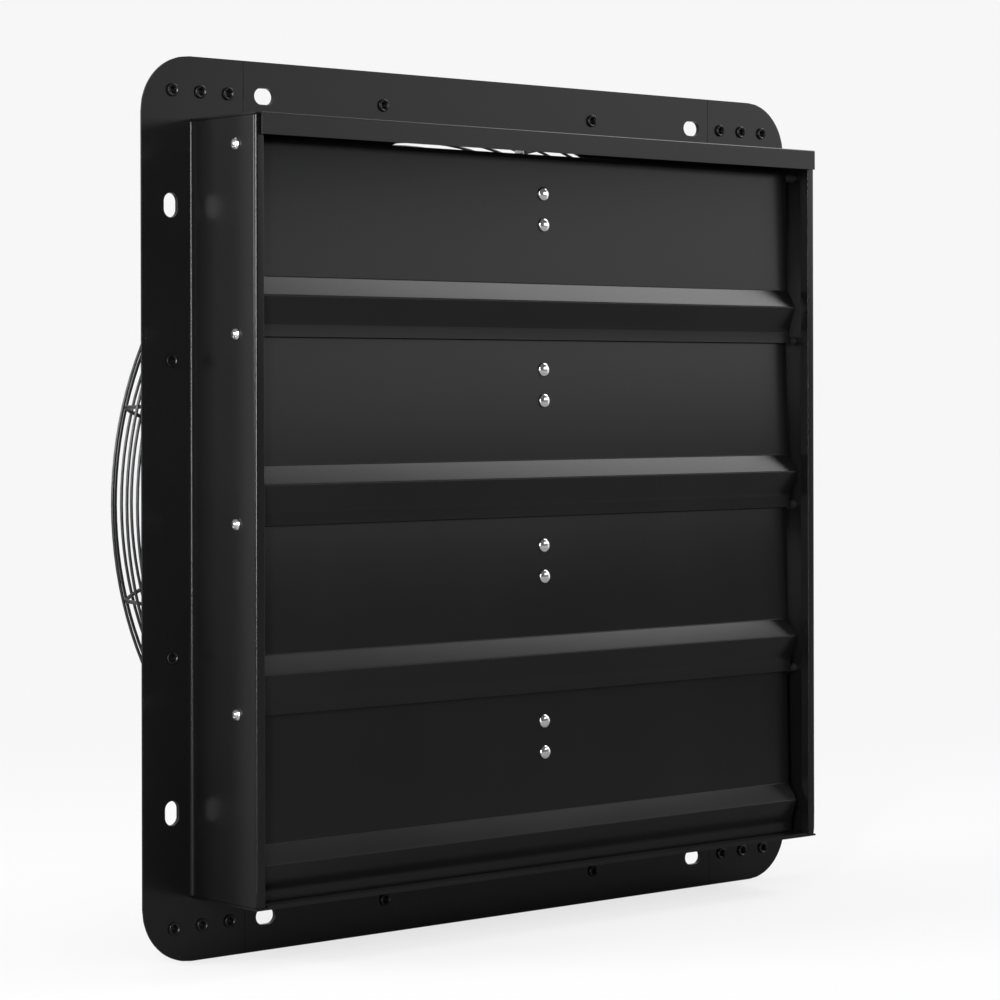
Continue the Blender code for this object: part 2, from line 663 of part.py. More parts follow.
def build_rivets(number, axis):
    """Two domed rivets through a louver and its link bracket."""
    tail = LOUVER_SHEET + BRACKET_SHEET + 2 * FIT_GAP
    head = -FIT_GAP
    profile = [
        (0, head - RIVET_HEAD_HEIGHT),
        (RIVET_HEAD_RADIUS * CROWN_RADIUS_SHARE, head - RIVET_HEAD_HEIGHT * CROWN_RISE_SHARE),
        (RIVET_HEAD_RADIUS, head), (RIVET_SHANK_RADIUS, head), (RIVET_SHANK_RADIUS, tail),
        (RIVET_TAIL_RADIUS, tail), (RIVET_TAIL_RADIUS, tail + RIVET_TAIL_HEIGHT), (0, tail + RIVET_TAIL_HEIGHT),
    ]
    for place, depth in zip(("upper", "lower"), rivet_depths()):
        rivet = place_on_louver(turned_mesh(profile, RIVET_SIDES), depth)
        add_piece(f"rivet_{number}_{place}", rivet, BRIGHT_METAL, axis, smooth=True)


def build_link_bracket(number, axis):
    """Foot on the louver's back and the arm that reaches to the tie bar."""
    upper, lower = rivet_depths()
    high = upper - BRACKET_MARGIN
    low = lower + BRACKET_MARGIN
    back = LOUVER_SHEET + FIT_GAP
    width = BRACKET_HALF_WIDTH
    foot_outline = [(-width, -low), (width + BRACKET_SHEET, -low), (width + BRACKET_SHEET, -high), (-width, -high)]
    foot = prism_mesh(foot_outline, "XZ", back, back + BRACKET_SHEET)
    turn = Matrix.Translation((0, louver_face_y(0), 0)) @ Matrix.Rotation(-louver_tilt(), 4, "X")
    bmesh.ops.transform(foot, matrix=turn, verts=foot.verts[:])
    bracket = add_piece(f"link_bracket_{number}", foot, ZINC_STEEL, axis)
    arm_outline = [
        (louver_face_y(high) + back + FIT_GAP, -high), (louver_face_y(low) + back + FIT_GAP, -low),
        *arc((LINK_Y, LINK_Z), LINK_EYE_RADIUS, -pi / 4, pi * 5 / 8, LINK_EYE_STEPS),
    ]
    eye = circle((LINK_Y, LINK_Z), LINK_PIN_RADIUS + FIT_GAP, LINK_PIN_SIDES)
    arm_mesh = prism_mesh(arm_outline, "YZ", width, width + BRACKET_SHEET, (eye,))
    arm = add_piece(f"link_bracket_{number}_arm", arm_mesh, ZINC_STEEL, axis)
    apply_boolean(bracket, arm, "UNION")
    bores = add_piece(f"link_bracket_{number}_bores", rivet_bores(), ZINC_STEEL, axis)
    apply_boolean(bracket, bores, "DIFFERENCE")
    return bracket


def build_link_pin(number, axis):
    """Headed pin through the bracket's eye and the tie bar."""
    bar_near = BRACKET_HALF_WIDTH + BRACKET_SHEET + FIT_GAP
    bar_far = bar_near + TIE_BAR_THICKNESS
    head = BRACKET_HALF_WIDTH - FIT_GAP
    tail = bar_far + FIT_GAP
    profile = [
        (0, head - LINK_PIN_HEAD), (LINK_PIN_HEAD_RADIUS, head - LINK_PIN_HEAD), (LINK_PIN_HEAD_RADIUS, head),
        (LINK_PIN_RADIUS, head), (LINK_PIN_RADIUS, tail), (LINK_PIN_HEAD_RADIUS, tail),
        (LINK_PIN_HEAD_RADIUS, tail + LINK_PIN_HEAD), (0, tail + LINK_PIN_HEAD),
    ]
    mesh = turned_mesh(profile, LINK_PIN_SIDES, "X")
    bmesh.ops.translate(mesh, verts=mesh.verts[:], vec=(0, LINK_Y, LINK_Z))
    add_piece(f"link_pin_{number}", mesh, BRIGHT_METAL, axis)


def build_tie_bar(parent):
    """Flat bar that joins the four link brackets."""
    axis = add_axis("tie_bar_axis", (0, LINK_Y, LINK_Z), parent)
    near = BRACKET_HALF_WIDTH + BRACKET_SHEET + FIT_GAP
    low = -LOUVER_PITCH * (LOUVER_COUNT - 1) - TIE_BAR_END
    half = TIE_BAR_WIDTH / 2
    outline = [(-half, low), (half, low), (half, TIE_BAR_END), (-half, TIE_BAR_END)]
    radius = LINK_PIN_RADIUS + LINK_RUNNING_GAP
    holes = [circle((0, -LOUVER_PITCH * step), radius, LINK_PIN_SIDES) for step in range(LOUVER_COUNT)]
    add_piece("tie_bar", prism_mesh(outline, "YZ", near, near + TIE_BAR_THICKNESS, holes), ZINC_STEEL, axis)


def build_pivot_pin(name, side, height):
    """Domed pin through the side web into the louver's rolled hem."""
    outer = BOX_HALF_WIDTH + FIT_GAP
    inner = BOX_HALF_WIDTH - SHEET - FIT_GAP
    end = LOUVER_HALF_WIDTH - PIVOT_PIN_ENGAGEMENT
    shoulder_end = LOUVER_HALF_WIDTH + FIT_GAP
    profile = [
        (0, outer + PIVOT_HEAD_HEIGHT),
        (PIVOT_HEAD_RADIUS * CROWN_RADIUS_SHARE, outer + PIVOT_HEAD_HEIGHT * CROWN_RISE_SHARE),
        (PIVOT_HEAD_RADIUS, outer), (PIVOT_SHOULDER_RADIUS, outer), (PIVOT_SHOULDER_RADIUS, inner),
        (PIVOT_SHOULDER_RADIUS, shoulder_end), (PIVOT_PIN_RADIUS, shoulder_end), (PIVOT_PIN_RADIUS, end), (0, end),
    ]
    mesh = turned_mesh([(radius, side * x) for radius, x in profile], PIVOT_SIDES, "X")
    pin = add_piece(name, mesh, BRIGHT_METAL, smooth=True)
    pin.location = (0, PIVOT_Y, height)


def build_shutter():
    """Louvers with their pivots, rivets, brackets, pins and tie bar."""
    first_axis = None
    for index, height in enumerate(louver_pivot_heights()):
        number = index + 1
        axis = add_axis(f"louver_{number}_axis", (0, PIVOT_Y, height))
        first_axis = first_axis or axis
        build_louver(number, axis)
        build_rivets(number, axis)
        build_link_bracket(number, axis)
        build_link_pin(number, axis)
        build_pivot_pin(f"pivot_pin_left_{number}", -1, height)
        build_pivot_pin(f"pivot_pin_right_{number}", 1, height)
    build_tie_bar(first_axis)


def guard_ring_places():
    """Radius and Y of each guard ring, from the panel to the motor plate."""
    rings = []
    for step in range(GUARD_SIDE_RING_COUNT):
        share = step / (GUARD_SIDE_RING_COUNT - 1)
        y = GUARD_BASE_Y + (GUARD_SHOULDER_Y - GUARD_BASE_Y) * share
        rings.append((GUARD_BASE_RADIUS - GUARD_TAPER * share, y))
    for step in range(1, GUARD_DOME_RING_COUNT + 1):
        share = step / GUARD_DOME_RING_COUNT
        radius = GUARD_SHOULDER_RADIUS + (GUARD_EYE_RADIUS - GUARD_SHOULDER_RADIUS) * share
        y = GUARD_EYE_Y - GUARD_DOME_RISE * (1 - share) ** GUARD_DOME_POWER
        rings.append((radius, y))
    return rings


def build_wire_guard():
    """Net of rings and radial wires, from a polar grid whose edges become wires."""
    mesh = bmesh.new()
    steps = GUARD_RADIAL_COUNT * GUARD_ARC_STEPS
    start = pi / GUARD_RADIAL_COUNT
    rings = []
    for radius, y in guard_ring_places():
        turns = [start + 2 * pi * step / steps for step in range(steps)]
        rings.append([mesh.verts.new((radius * cos(turn), y, radius * sin(turn))) for turn in turns])
    for outer, inner in zip(rings, rings[1:]):
        for cell in range(GUARD_RADIAL_COUNT):
            span = [(cell * GUARD_ARC_STEPS + step) % steps for step in range(GUARD_ARC_STEPS + 1)]
            mesh.faces.new([outer[i] for i in span] + [inner[i] for i in reversed(span)])
    guard = add_piece("wire_guard", mesh, POWDER_COAT)
    wires = guard.modifiers.new("Wires", "WIREFRAME")
    wires.thickness = 2 * WIRE_RADIUS
    wires.use_even_offset = True
    wires.use_relative_offset = False
    wires.use_boundary = True
    wires.use_replace = True
    return guard


def build_motor():
    """Motor plate, base, stator, bearings, shaft and the outer rotor."""
    tube_bore = BEARING_RADIUS + FIT_GAP
    plate = [(BEARING_TUBE_RADIUS, PLATE_FRONT), (MOTOR_PLATE_RADIUS, PLATE_FRONT),
             (MOTOR_PLATE_RADIUS, PLATE_BACK), (BEARING_TUBE_RADIUS, PLATE_BACK)]
    add_piece("motor_plate", turned_mesh(plate, MOTOR_SIDES, ring=True), POWDER_COAT)
    relief = tube_bore - BEARING_SHOULDER
    front_seat = TUBE_FRONT + BEARING_WIDTH + 2 * FIT_GAP
    rear_seat = BASE_BACK - BEARING_WIDTH - 2 * FIT_GAP - SHEET
    base = [
        (tube_bore, TUBE_FRONT), (BEARING_TUBE_RADIUS, TUBE_FRONT), (BEARING_TUBE_RADIUS, BASE_FRONT),
        (MOTOR_BASE_RADIUS, BASE_FRONT), (MOTOR_BASE_RADIUS, BASE_BACK), (tube_bore, BASE_BACK),
        (tube_bore, rear_seat), (relief, rear_seat), (relief, front_seat), (tube_bore, front_seat),
    ]
    add_piece("motor_base", turned_mesh(base, MOTOR_SIDES, ring=True), CAST_ALUMINIUM)
    bore = BEARING_TUBE_RADIUS + FIT_GAP
    stack_front = STATOR_MIDDLE - STATOR_STACK / 2
    stack_back = STATOR_MIDDLE + STATOR_STACK / 2
    stator = [
        (bore, stack_front - WINDING_HEIGHT), (WINDING_RADIUS, stack_front - WINDING_HEIGHT),
        (WINDING_RADIUS, stack_front), (STATOR_RADIUS, stack_front), (STATOR_RADIUS, stack_back),
        (WINDING_RADIUS, stack_back), (WINDING_RADIUS, stack_back + WINDING_HEIGHT),
        (bore, stack_back + WINDING_HEIGHT),
    ]
    add_piece("stator_core", turned_mesh(stator, MOTOR_SIDES, ring=True), STATOR_STEEL)
    for name, front in (("front_bearing", TUBE_FRONT + FIT_GAP), ("rear_bearing", rear_seat + FIT_GAP)):
        inner = SHAFT_RADIUS + FIT_GAP
        ring = [(inner, front), (BEARING_RADIUS, front), (BEARING_RADIUS, front + BEARING_WIDTH),
                (inner, front + BEARING_WIDTH)]
        add_piece(name, turned_mesh(ring, MOTOR_SIDES, ring=True), ZINC_STEEL)
    axis = add_axis("impeller_axis", (0, 0, 0))
    shaft = [(0, SHAFT_FRONT), (SHAFT_RADIUS, SHAFT_FRONT), (SHAFT_RADIUS, SHAFT_BACK), (0, SHAFT_BACK)]
    add_piece("motor_shaft", turned_mesh(shaft, SHAFT_SIDES), ZINC_STEEL, axis)
    bore = SHAFT_RADIUS + FIT_GAP
    inside = ROTOR_CAN_FRONT + ROTOR_FRONT
    can = [
        (bore, ROTOR_CAN_FRONT), (ROTOR_RADIUS, ROTOR_CAN_FRONT), (ROTOR_RADIUS, ROTOR_BACK),
        (ROTOR_INNER_RADIUS, ROTOR_BACK), (ROTOR_INNER_RADIUS, inside), (bore, inside),
    ]
    add_piece("rotor_can", turned_mesh(can, MOTOR_SIDES, ring=True), CAST_ALUMINIUM, axis)
    return axis


def fan_blade_point(span, chord):
    """Point of a fan blade's middle surface; span runs 0 to 1 and chord -1 to 1."""
    half_step = FAN_ROOT_CHORD * cos(FAN_ROOT_PITCH) / (2 * FAN_CHORD_STEPS * HUB_RADIUS)
    root = (HUB_RADIUS + FIT_GAP) / cos(half_step)
    radius = root + (FAN_RADIUS - root) * span - FAN_TIP_ROUNDING * span ** 4 * chord ** 4
    length = FAN_ROOT_CHORD + (FAN_TIP_CHORD - FAN_ROOT_CHORD) * span
    pitch = FAN_ROOT_PITCH + (FAN_TIP_PITCH - FAN_ROOT_PITCH) * span
    bulge = FAN_CAMBER * (1 - chord ** 2)
    across = chord * length / 2 * cos(pitch) - bulge * sin(pitch)
    y = FAN_BEHIND_FLANGE + chord * length / 2 * sin(pitch) + bulge * cos(pitch)
    turn = FAN_SWEEP * span ** 2 + across / radius
    return Vector((radius * cos(turn), y, radius * sin(turn)))


def build_fan_blade(number, axis):
    """One swept and cambered sheet blade."""
    mesh = bmesh.new()
    grid = []
    for span_step in range(FAN_SPAN_STEPS + 1):
        row = []
        for chord_step in range(FAN_CHORD_STEPS + 1):
            point = fan_blade_point(span_step / FAN_SPAN_STEPS, 2 * chord_step / FAN_CHORD_STEPS - 1)
            row.append(mesh.verts.new(point))
        grid.append(row)
    for low, high in zip(grid, grid[1:]):
        for step in range(FAN_CHORD_STEPS):
            mesh.faces.new((low[step], low[step + 1], high[step + 1], high[step]))
    turn = Matrix.Rotation(2 * pi * (number - 1) / FAN_BLADE_COUNT, 4, "Y")
    bmesh.ops.transform(mesh, matrix=turn, verts=mesh.verts[:])
    blade = add_piece(f"fan_blade_{number}", mesh, POWDER_COAT, axis, smooth=True)
    wall = blade.modifiers.new("Sheet", "SOLIDIFY")
    wall.thickness = FAN_BLADE_THICKNESS
    wall.offset = 0
    wall.use_even_offset = True
    return blade


def build_impeller(axis):
    """Hub over the rotor and the blades that are welded to it."""
    front = ROTOR_CAN_FRONT - HUB_NOSE_LENGTH
    inner = ROTOR_RADIUS + FIT_GAP
    hub = [
        (HUB_FRONT_HOLE_RADIUS, front), (HUB_RADIUS - HUB_WALL, front), (HUB_RADIUS, front + HUB_WALL),
        (HUB_RADIUS, front + HUB_LENGTH), (inner, front + HUB_LENGTH), (inner, front + HUB_WALL),
        (HUB_FRONT_HOLE_RADIUS, front + HUB_WALL),
    ]
    add_piece("impeller_hub", turned_mesh(hub, MOTOR_SIDES, ring=True), POWDER_COAT, axis, smooth=True)
    for number in range(1, FAN_BLADE_COUNT + 1):
        build_fan_blade(number, axis)


def build_terminal_box():
    """Wiring box on the motor plate and the gland under it."""
    front = PLATE_BACK + FIT_GAP
    lid = front + BOX_LENGTH - BOX_LID_HEIGHT
    half = BOX_WIDTH / 2
    outline = rounded_rectangle(half, half, BOX_CORNER_RADIUS, 3)
    box = add_piece("terminal_box", prism_mesh(outline, "XZ", front, lid), BLACK_PLASTIC)
    lid_half = half + BOX_LID_STEP
    lid_outline = rounded_rectangle(lid_half, lid_half, BOX_CORNER_RADIUS, 3)
    lid_mesh = prism_mesh(lid_outline, "XZ", lid - BOX_LID_STEP, front + BOX_LENGTH)
    apply_boolean(box, add_piece("box_lid", lid_mesh, BLACK_PLASTIC), "UNION")
    top = -FIT_GAP
    nut = top - GLAND_NUT_LENGTH
    end = top - GLAND_LENGTH
    profile = [
        (GLAND_BORE_RADIUS, top), (GLAND_NUT_RADIUS, top), (GLAND_NUT_RADIUS, nut), (GLAND_RADIUS, nut),
        (GLAND_RADIUS, end + GLAND_WALL), (GLAND_RADIUS - GLAND_WALL, end), (GLAND_BORE_RADIUS, end),
    ]
    gland = add_piece("cable_gland", turned_mesh(profile, GLAND_SIDES, "Z", ring=True), BLACK_PLASTIC)
    gland.location = (0, front + (BOX_LENGTH - BOX_LID_HEIGHT) / 2, -half)


def main():
    """Build every piece of the fan."""
    clear_scene()
    build_side_channel("side_channel_left", -1)
    build_side_channel("side_channel_right", 1)
    build_top_channel()
    build_bottom_channel()
    build_fan_panel()
    build_corner_screws()
    build_edge_screws()
    build_shutter()
    build_wire_guard()
    build_impeller(build_motor())
    build_terminal_box()


main()
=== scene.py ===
"""Looks of a black shutter exhaust fan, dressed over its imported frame.

The frame gives each piece its place and the body that it moves with. Sizes are metres, +Z is up and
the shutter faces -Y. The origin is the fan axis on the front face of the flange.
"""

import logging
from collections.abc import Callable, Iterable, Sequence
from dataclasses import dataclass, field
from enum import Enum
from math import atan2, cos, pi, radians, sin

import bmesh
import bpy
from mathutils import Matrix, Vector


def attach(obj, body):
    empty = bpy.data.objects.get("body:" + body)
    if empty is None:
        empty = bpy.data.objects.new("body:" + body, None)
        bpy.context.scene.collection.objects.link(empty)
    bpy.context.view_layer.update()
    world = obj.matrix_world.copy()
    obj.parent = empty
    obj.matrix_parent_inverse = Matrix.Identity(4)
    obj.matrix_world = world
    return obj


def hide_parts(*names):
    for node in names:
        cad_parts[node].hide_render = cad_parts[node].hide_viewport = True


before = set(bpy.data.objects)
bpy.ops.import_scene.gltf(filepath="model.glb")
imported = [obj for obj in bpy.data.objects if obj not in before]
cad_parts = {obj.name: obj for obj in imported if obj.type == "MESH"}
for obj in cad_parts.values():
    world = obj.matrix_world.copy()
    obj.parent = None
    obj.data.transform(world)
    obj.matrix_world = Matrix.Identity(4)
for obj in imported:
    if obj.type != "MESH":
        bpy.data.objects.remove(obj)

log = logging.getLogger("shutter_fan")

MERGE = 0.000004
NEAR = 0.00003
BUMP_DISTANCE = 0.0002
QUARTER = pi / 2
CORNERS = ((1, 1), (-1, 1), (-1, -1), (1, -1))

Piece = bpy.types.Object
Socket = bpy.types.NodeSocket
Pair = tuple[float, float]
Place = tuple[float, float, float]
Colour = tuple[float, float, float]
Test = Callable[..., bool]
Inputs = dict[str | int, object]


class Kind(Enum):
    """What a selection picks."""

    POINTS = "VERT"
    EDGES = "EDGE"
    FACES = "FACE"


class Side(Enum):
    """Left or right of the fan, seen from the shutter."""

    LEFT = -1
    RIGHT = 1

    @property
    def label(self) -> str:
        """The side's word in the names of pieces."""
        return self.name.lower()


class Bench:
    """Modelling by hand: short calls over the edit operators."""

    @staticmethod
    def rest() -> None:
        """Leave edit mode with nothing selected."""
        if bpy.context.object and bpy.context.object.mode != "OBJECT":
            bpy.ops.object.mode_set(mode="OBJECT")
        bpy.ops.object.select_all(action="DESELECT")

    @staticmethod
    def hold(piece: Piece) -> None:
        """Make a piece the only selected one, in object mode.

        Args:
            piece: The piece.
        """
        Bench.rest()
        piece.select_set(True)
        bpy.context.view_layer.objects.active = piece

    @staticmethod
    def edit(piece: Piece, kind: Kind = Kind.EDGES, action: str = "SELECT") -> None:
        """Open a piece in edit mode.

        Args:
            piece: The piece.
            kind: Points, edges or faces.
            action: SELECT for all of it, DESELECT for nothing.
        """
        Bench.hold(piece)
        bpy.ops.object.mode_set(mode="EDIT")
        bpy.ops.mesh.select_mode(type=kind.value)
        bpy.ops.mesh.select_all(action=action)

    @staticmethod
    def pick(piece: Piece, kind: Kind, test: Test) -> int:
        """Open a piece in edit mode with what passes a test selected.

        Args:
            piece: The piece.
            kind: Points, edges or faces.
            test: Takes a point's place, an edge's two ends, or a face's centre and normal.

        Returns:
            How many were picked.
        """
        Bench.edit(piece, kind, "DESELECT")
        mesh = bmesh.from_edit_mesh(piece.data)
        bits, facts = {
            Kind.POINTS: (mesh.verts, lambda point: (point.co,)),
            Kind.EDGES: (mesh.edges, lambda edge: (edge.verts[0].co, edge.verts[1].co)),
            Kind.FACES: (mesh.faces, lambda face: (face.calc_center_median(), face.normal)),
        }[kind]
        found = [bit for bit in bits if test(*facts(bit))]
        for bit in found:
            bit.select_set(True)
        mesh.select_flush_mode()
        bmesh.update_edit_mesh(piece.data)
        return len(found)

    @staticmethod
    def arc(centre: Pair, radius: float, start: float, sweep: float, steps: int) -> list[Pair]:
        """Points of an arc, both ends with it."""
        turns = [start + sweep * step / steps for step in range(steps + 1)]
        return [(centre[0] + radius * cos(turn), centre[1] + radius * sin(turn)) for turn in turns]

    @staticmethod
    def rounded(half_x: float, half_z: float, radius: float, steps: int) -> list[Pair]:
        """Closed outline of a rounded rectangle about the origin.

        Args:
            half_x: Half its width.
            half_z: Half its height.
            radius: Radius of its corners.
            steps: Steps of a corner.

        Returns:
            The points, none twice in a row.
        """
        outline: list[Pair] = []
        for number, (side, rise) in enumerate(CORNERS):
            centre = (side * (half_x - radius), rise * (half_z - radius))
            for x, z in Bench.arc(centre, radius, number * QUARTER, QUARTER, steps):
                if not outline or abs(x - outline[-1][0]) + abs(z - outline[-1][1]) > NEAR:
                    outline.append((x, z))
        return outline

    @staticmethod
    def draw(name: str, places: Sequence[Sequence[float]], closed: bool = False) -> Piece:
        """Draw a line of points by extruding one after the other.

        Args:
            name: Name of the new piece.
            places: The points of the line.
            closed: Whether the line runs back to its start.

        Returns:
            The piece, open in edit mode with all of it selected.
        """
        Bench.rest()
        bpy.ops.mesh.primitive_plane_add(size=1)
        piece = bpy.context.object
        piece.name = piece.data.name = name
        Bench.edit(piece, Kind.POINTS)
        bpy.ops.mesh.merge(type="CENTER")
        bpy.ops.transform.translate(value=tuple(places[0]))
        here = Vector(places[0])
        for stop in [*places[1:], places[0]] if closed else places[1:]:
            bpy.ops.mesh.extrude_region_move(TRANSFORM_OT_translate={"value": tuple(Vector(stop) - here)})
            here = Vector(stop)
        bpy.ops.mesh.select_all(action="SELECT")
        if closed:
            bpy.ops.mesh.remove_doubles(threshold=MERGE)
        return piece

    @staticmethod
    def prism(name: str, outline: Sequence[Sequence[float]], push: Place) -> Piece:
        """Fill a closed outline and push it out to a solid.

        Args:
            name: Name of the new piece.
            outline: The points of the outline.
            push: How far and which way it is pushed.

        Returns:
            The solid, in object mode.
        """
        piece = Bench.draw(name, outline, closed=True)
        bpy.ops.mesh.edge_face_add()
        bpy.ops.mesh.extrude_region_move(TRANSFORM_OT_translate={"value": push})
        Bench.face_out(piece)
        return piece

    @staticmethod
    def turned(
        name: str, profile: Sequence[Pair], steps: int, centre: Place = (0, 0, 0), axis: Place = (0, 1, 0),
        ring: bool = False, smooth: float = 0,
    ) -> Piece:
        """Spin a profile round an axis.

        Args:
            name: Name of the new piece.
            profile: Points as radius and height along the axis.
            steps: Steps of a full turn.
            centre: A point on the axis, height 0.
            axis: The axis, from low to high.
            ring: Whether the profile closes on itself.
            smooth: Angle in degrees up to which it is shaded smooth, or 0.

        Returns:
            The closed solid, in object mode.
        """
        along = Vector(axis).normalized()
        across = along.orthogonal().normalized()
        middle = Vector(centre)
        places = [middle + across * radius + along * height for radius, height in profile]
        piece = Bench.draw(name, places, ring)
        bpy.ops.mesh.spin(
            steps=steps, angle=2 * pi, center=tuple(middle), axis=tuple(along), use_auto_merge=True,
        )
        Bench.face_out(piece)
        if smooth:
            Bench.smooth(piece, smooth)
        return piece

    @staticmethod
    def face_out(piece: Piece) -> None:
        """Merge doubles, turn all faces outwards and leave edit mode.

        Args:
            piece: The piece, open in edit mode.
        """
        bpy.ops.mesh.select_all(action="SELECT")
        bpy.ops.mesh.remove_doubles(threshold=MERGE)
        bpy.ops.mesh.normals_make_consistent(inside=False)
        Bench.hold(piece)

    @staticmethod
    def link(name: str, data: bpy.types.ID) -> Piece:
        """Put data into the scene as a new object.

        Args:
            name: Name of the object.
            data: Its mesh, lamp or camera.

        Returns:
            The object.
        """
        piece = bpy.data.objects.new(name, data)
        bpy.context.scene.collection.objects.link(piece)
        return piece

    @staticmethod
    def copy_node(node: str, name: str) -> Piece:
        """Copy a frame node's mesh, merge its loose triangles and clear the flat faces of cross lines.

        Args:
            node: The frame node.
            name: Name of the copy.

        Returns:
            The copy, in object mode.
        """
        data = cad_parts[node].data.copy()
        data.name = name
        data.materials.clear()
        piece = Bench.link(name, data)
        Bench.hold(piece)
        bpy.ops.mesh.customdata_custom_splitnormals_clear()
        Bench.edit(piece)
        bpy.ops.mesh.remove_doubles(threshold=MERGE)
        bpy.ops.mesh.dissolve_limited(angle_limit=radians(0.6))
        Bench.hold(piece)
        return piece

    @staticmethod
    def copy_piece(piece: Piece, name: str, matrix: Matrix) -> Piece:
        """Copy a piece with its own mesh.

        Args:
            piece: The piece.
            name: Name of the copy.
            matrix: Moves the copy's mesh.

        Returns:
            The copy.
        """
        data = piece.data.copy()
        data.name = name
        data.transform(matrix)
        return Bench.link(name, data)

    @staticmethod
    def repeat(pattern: Piece, name: str, matrices: Iterable[Matrix]) -> Piece:
        """Copy a pattern to several places as one piece, and use it up.

        Args:
            pattern: The piece that repeats.
            name: Name of the new piece.
            matrices: One for each copy.

        Returns:
            The copies, joined.
        """
        copies = []
        for number, matrix in enumerate(matrices):
            copies.append(Bench.copy_piece(pattern, f"{name}_{number}", matrix))
        bpy.data.objects.remove(pattern, do_unlink=True)
        return Bench.join(copies, name)

    @staticmethod
    def hexagon(radius: float, height: float, centre: Place, tip: float = QUARTER) -> Piece:
        """Six-sided prism along Y, or along Z.

        Args:
            radius: Radius to its corners.
            height: Its whole height.
            centre: Its middle.
            tip: A quarter turn for Y, 0 for Z.

        Returns:
            The prism, in object mode.
        """
        Bench.rest()
        bpy.ops.mesh.primitive_cylinder_add(
            vertices=6, radius=radius, depth=height, location=centre, rotation=(tip, 0, 0),
        )
        piece = bpy.context.object
        Bench.settle(piece)
        return piece

    @staticmethod
    def round_edges(piece: Piece, test: Test, width: float, segments: int) -> None:
        """Round the edges that pass a test.

        Args:
            piece: The piece.
            test: Takes the two ends of an edge.
            width: Width of the rounding.
            segments: Its steps.
        """
        if Bench.pick(piece, Kind.EDGES, test):
            bpy.ops.mesh.bevel(
                offset=width, segments=segments, profile=0.5, affect="EDGES", clamp_overlap=True,
            )
        Bench.hold(piece)

    @staticmethod
    def modify(piece: Piece, kind: str, **settings: object) -> None:
        """Add a modifier and apply it.

        Args:
            piece: The piece.
            kind: Blender's modifier type.
            settings: Properties of the modifier.
        """
        Bench.hold(piece)
        change = piece.modifiers.new(kind.title(), kind)
        for key, value in settings.items():
            setattr(change, key, value)
        bpy.ops.object.modifier_apply(modifier=change.name)

    @staticmethod
    def soften(piece: Piece, width: float, angle: float = 50, segments: int = 2) -> None:
        """Break all sharp edges and let the flat faces rule the shading.

        Args:
            piece: The piece.
            width: Width of the rounding.
            angle: Degrees from which an edge is sharp.
            segments: Steps of the rounding.
        """
        Bench.modify(
            piece, "BEVEL", width=width, segments=segments, limit_method="ANGLE", angle_limit=radians(angle),
            use_clamp_overlap=True,
        )
        bpy.ops.object.shade_smooth()
        Bench.modify(piece, "WEIGHTED_NORMAL", keep_sharp=False, weight=80)

    @staticmethod
    def smooth(piece: Piece, angle: float) -> None:
        """Shade a piece smooth up to an angle in degrees."""
        Bench.hold(piece)
        bpy.ops.object.shade_smooth_by_angle(angle=radians(angle))

    @staticmethod
    def join(pieces: Sequence[Piece], name: str) -> Piece:
        """Join pieces into the first one.

        Args:
            pieces: The pieces.
            name: Name of the joined piece.

        Returns:
            The joined piece.
        """
        Bench.rest()
        for piece in pieces:
            piece.select_set(True)
        bpy.context.view_layer.objects.active = pieces[0]
        bpy.ops.object.join()
        joined = bpy.context.object
        joined.name = joined.data.name = name
        return joined

    @staticmethod
    def cut(piece: Piece, tool: Piece, operation: str = "DIFFERENCE") -> None:
        """Cut a piece with a tool, which is used up."""
        Bench.modify(piece, "BOOLEAN", operation=operation, object=tool, solver="EXACT")
        bpy.data.objects.remove(tool, do_unlink=True)

    @staticmethod
    def settle(piece: Piece) -> None:
        """Put a piece's place into its mesh."""
        Bench.hold(piece)
        bpy.ops.object.transform_apply(location=True, rotation=True, scale=True)


@dataclass(frozen=True)
class Line:
    """A straight line along one axis, as a test for edges.

    The two coordinates that are given fix the line, and the third runs free.
    """

    x: float | None = None
    y: float | None = None
    z: float | None = None

    def __call__(self, first: Vector, second: Vector) -> bool:
        """Whether both ends of an edge lie on the line."""
        pairs = [*zip(first, (self.x, self.y, self.z)), *zip(second, (self.x, self.y, self.z))]
        return all(want is None or abs(value - want) <= NEAR for value, want in pairs)


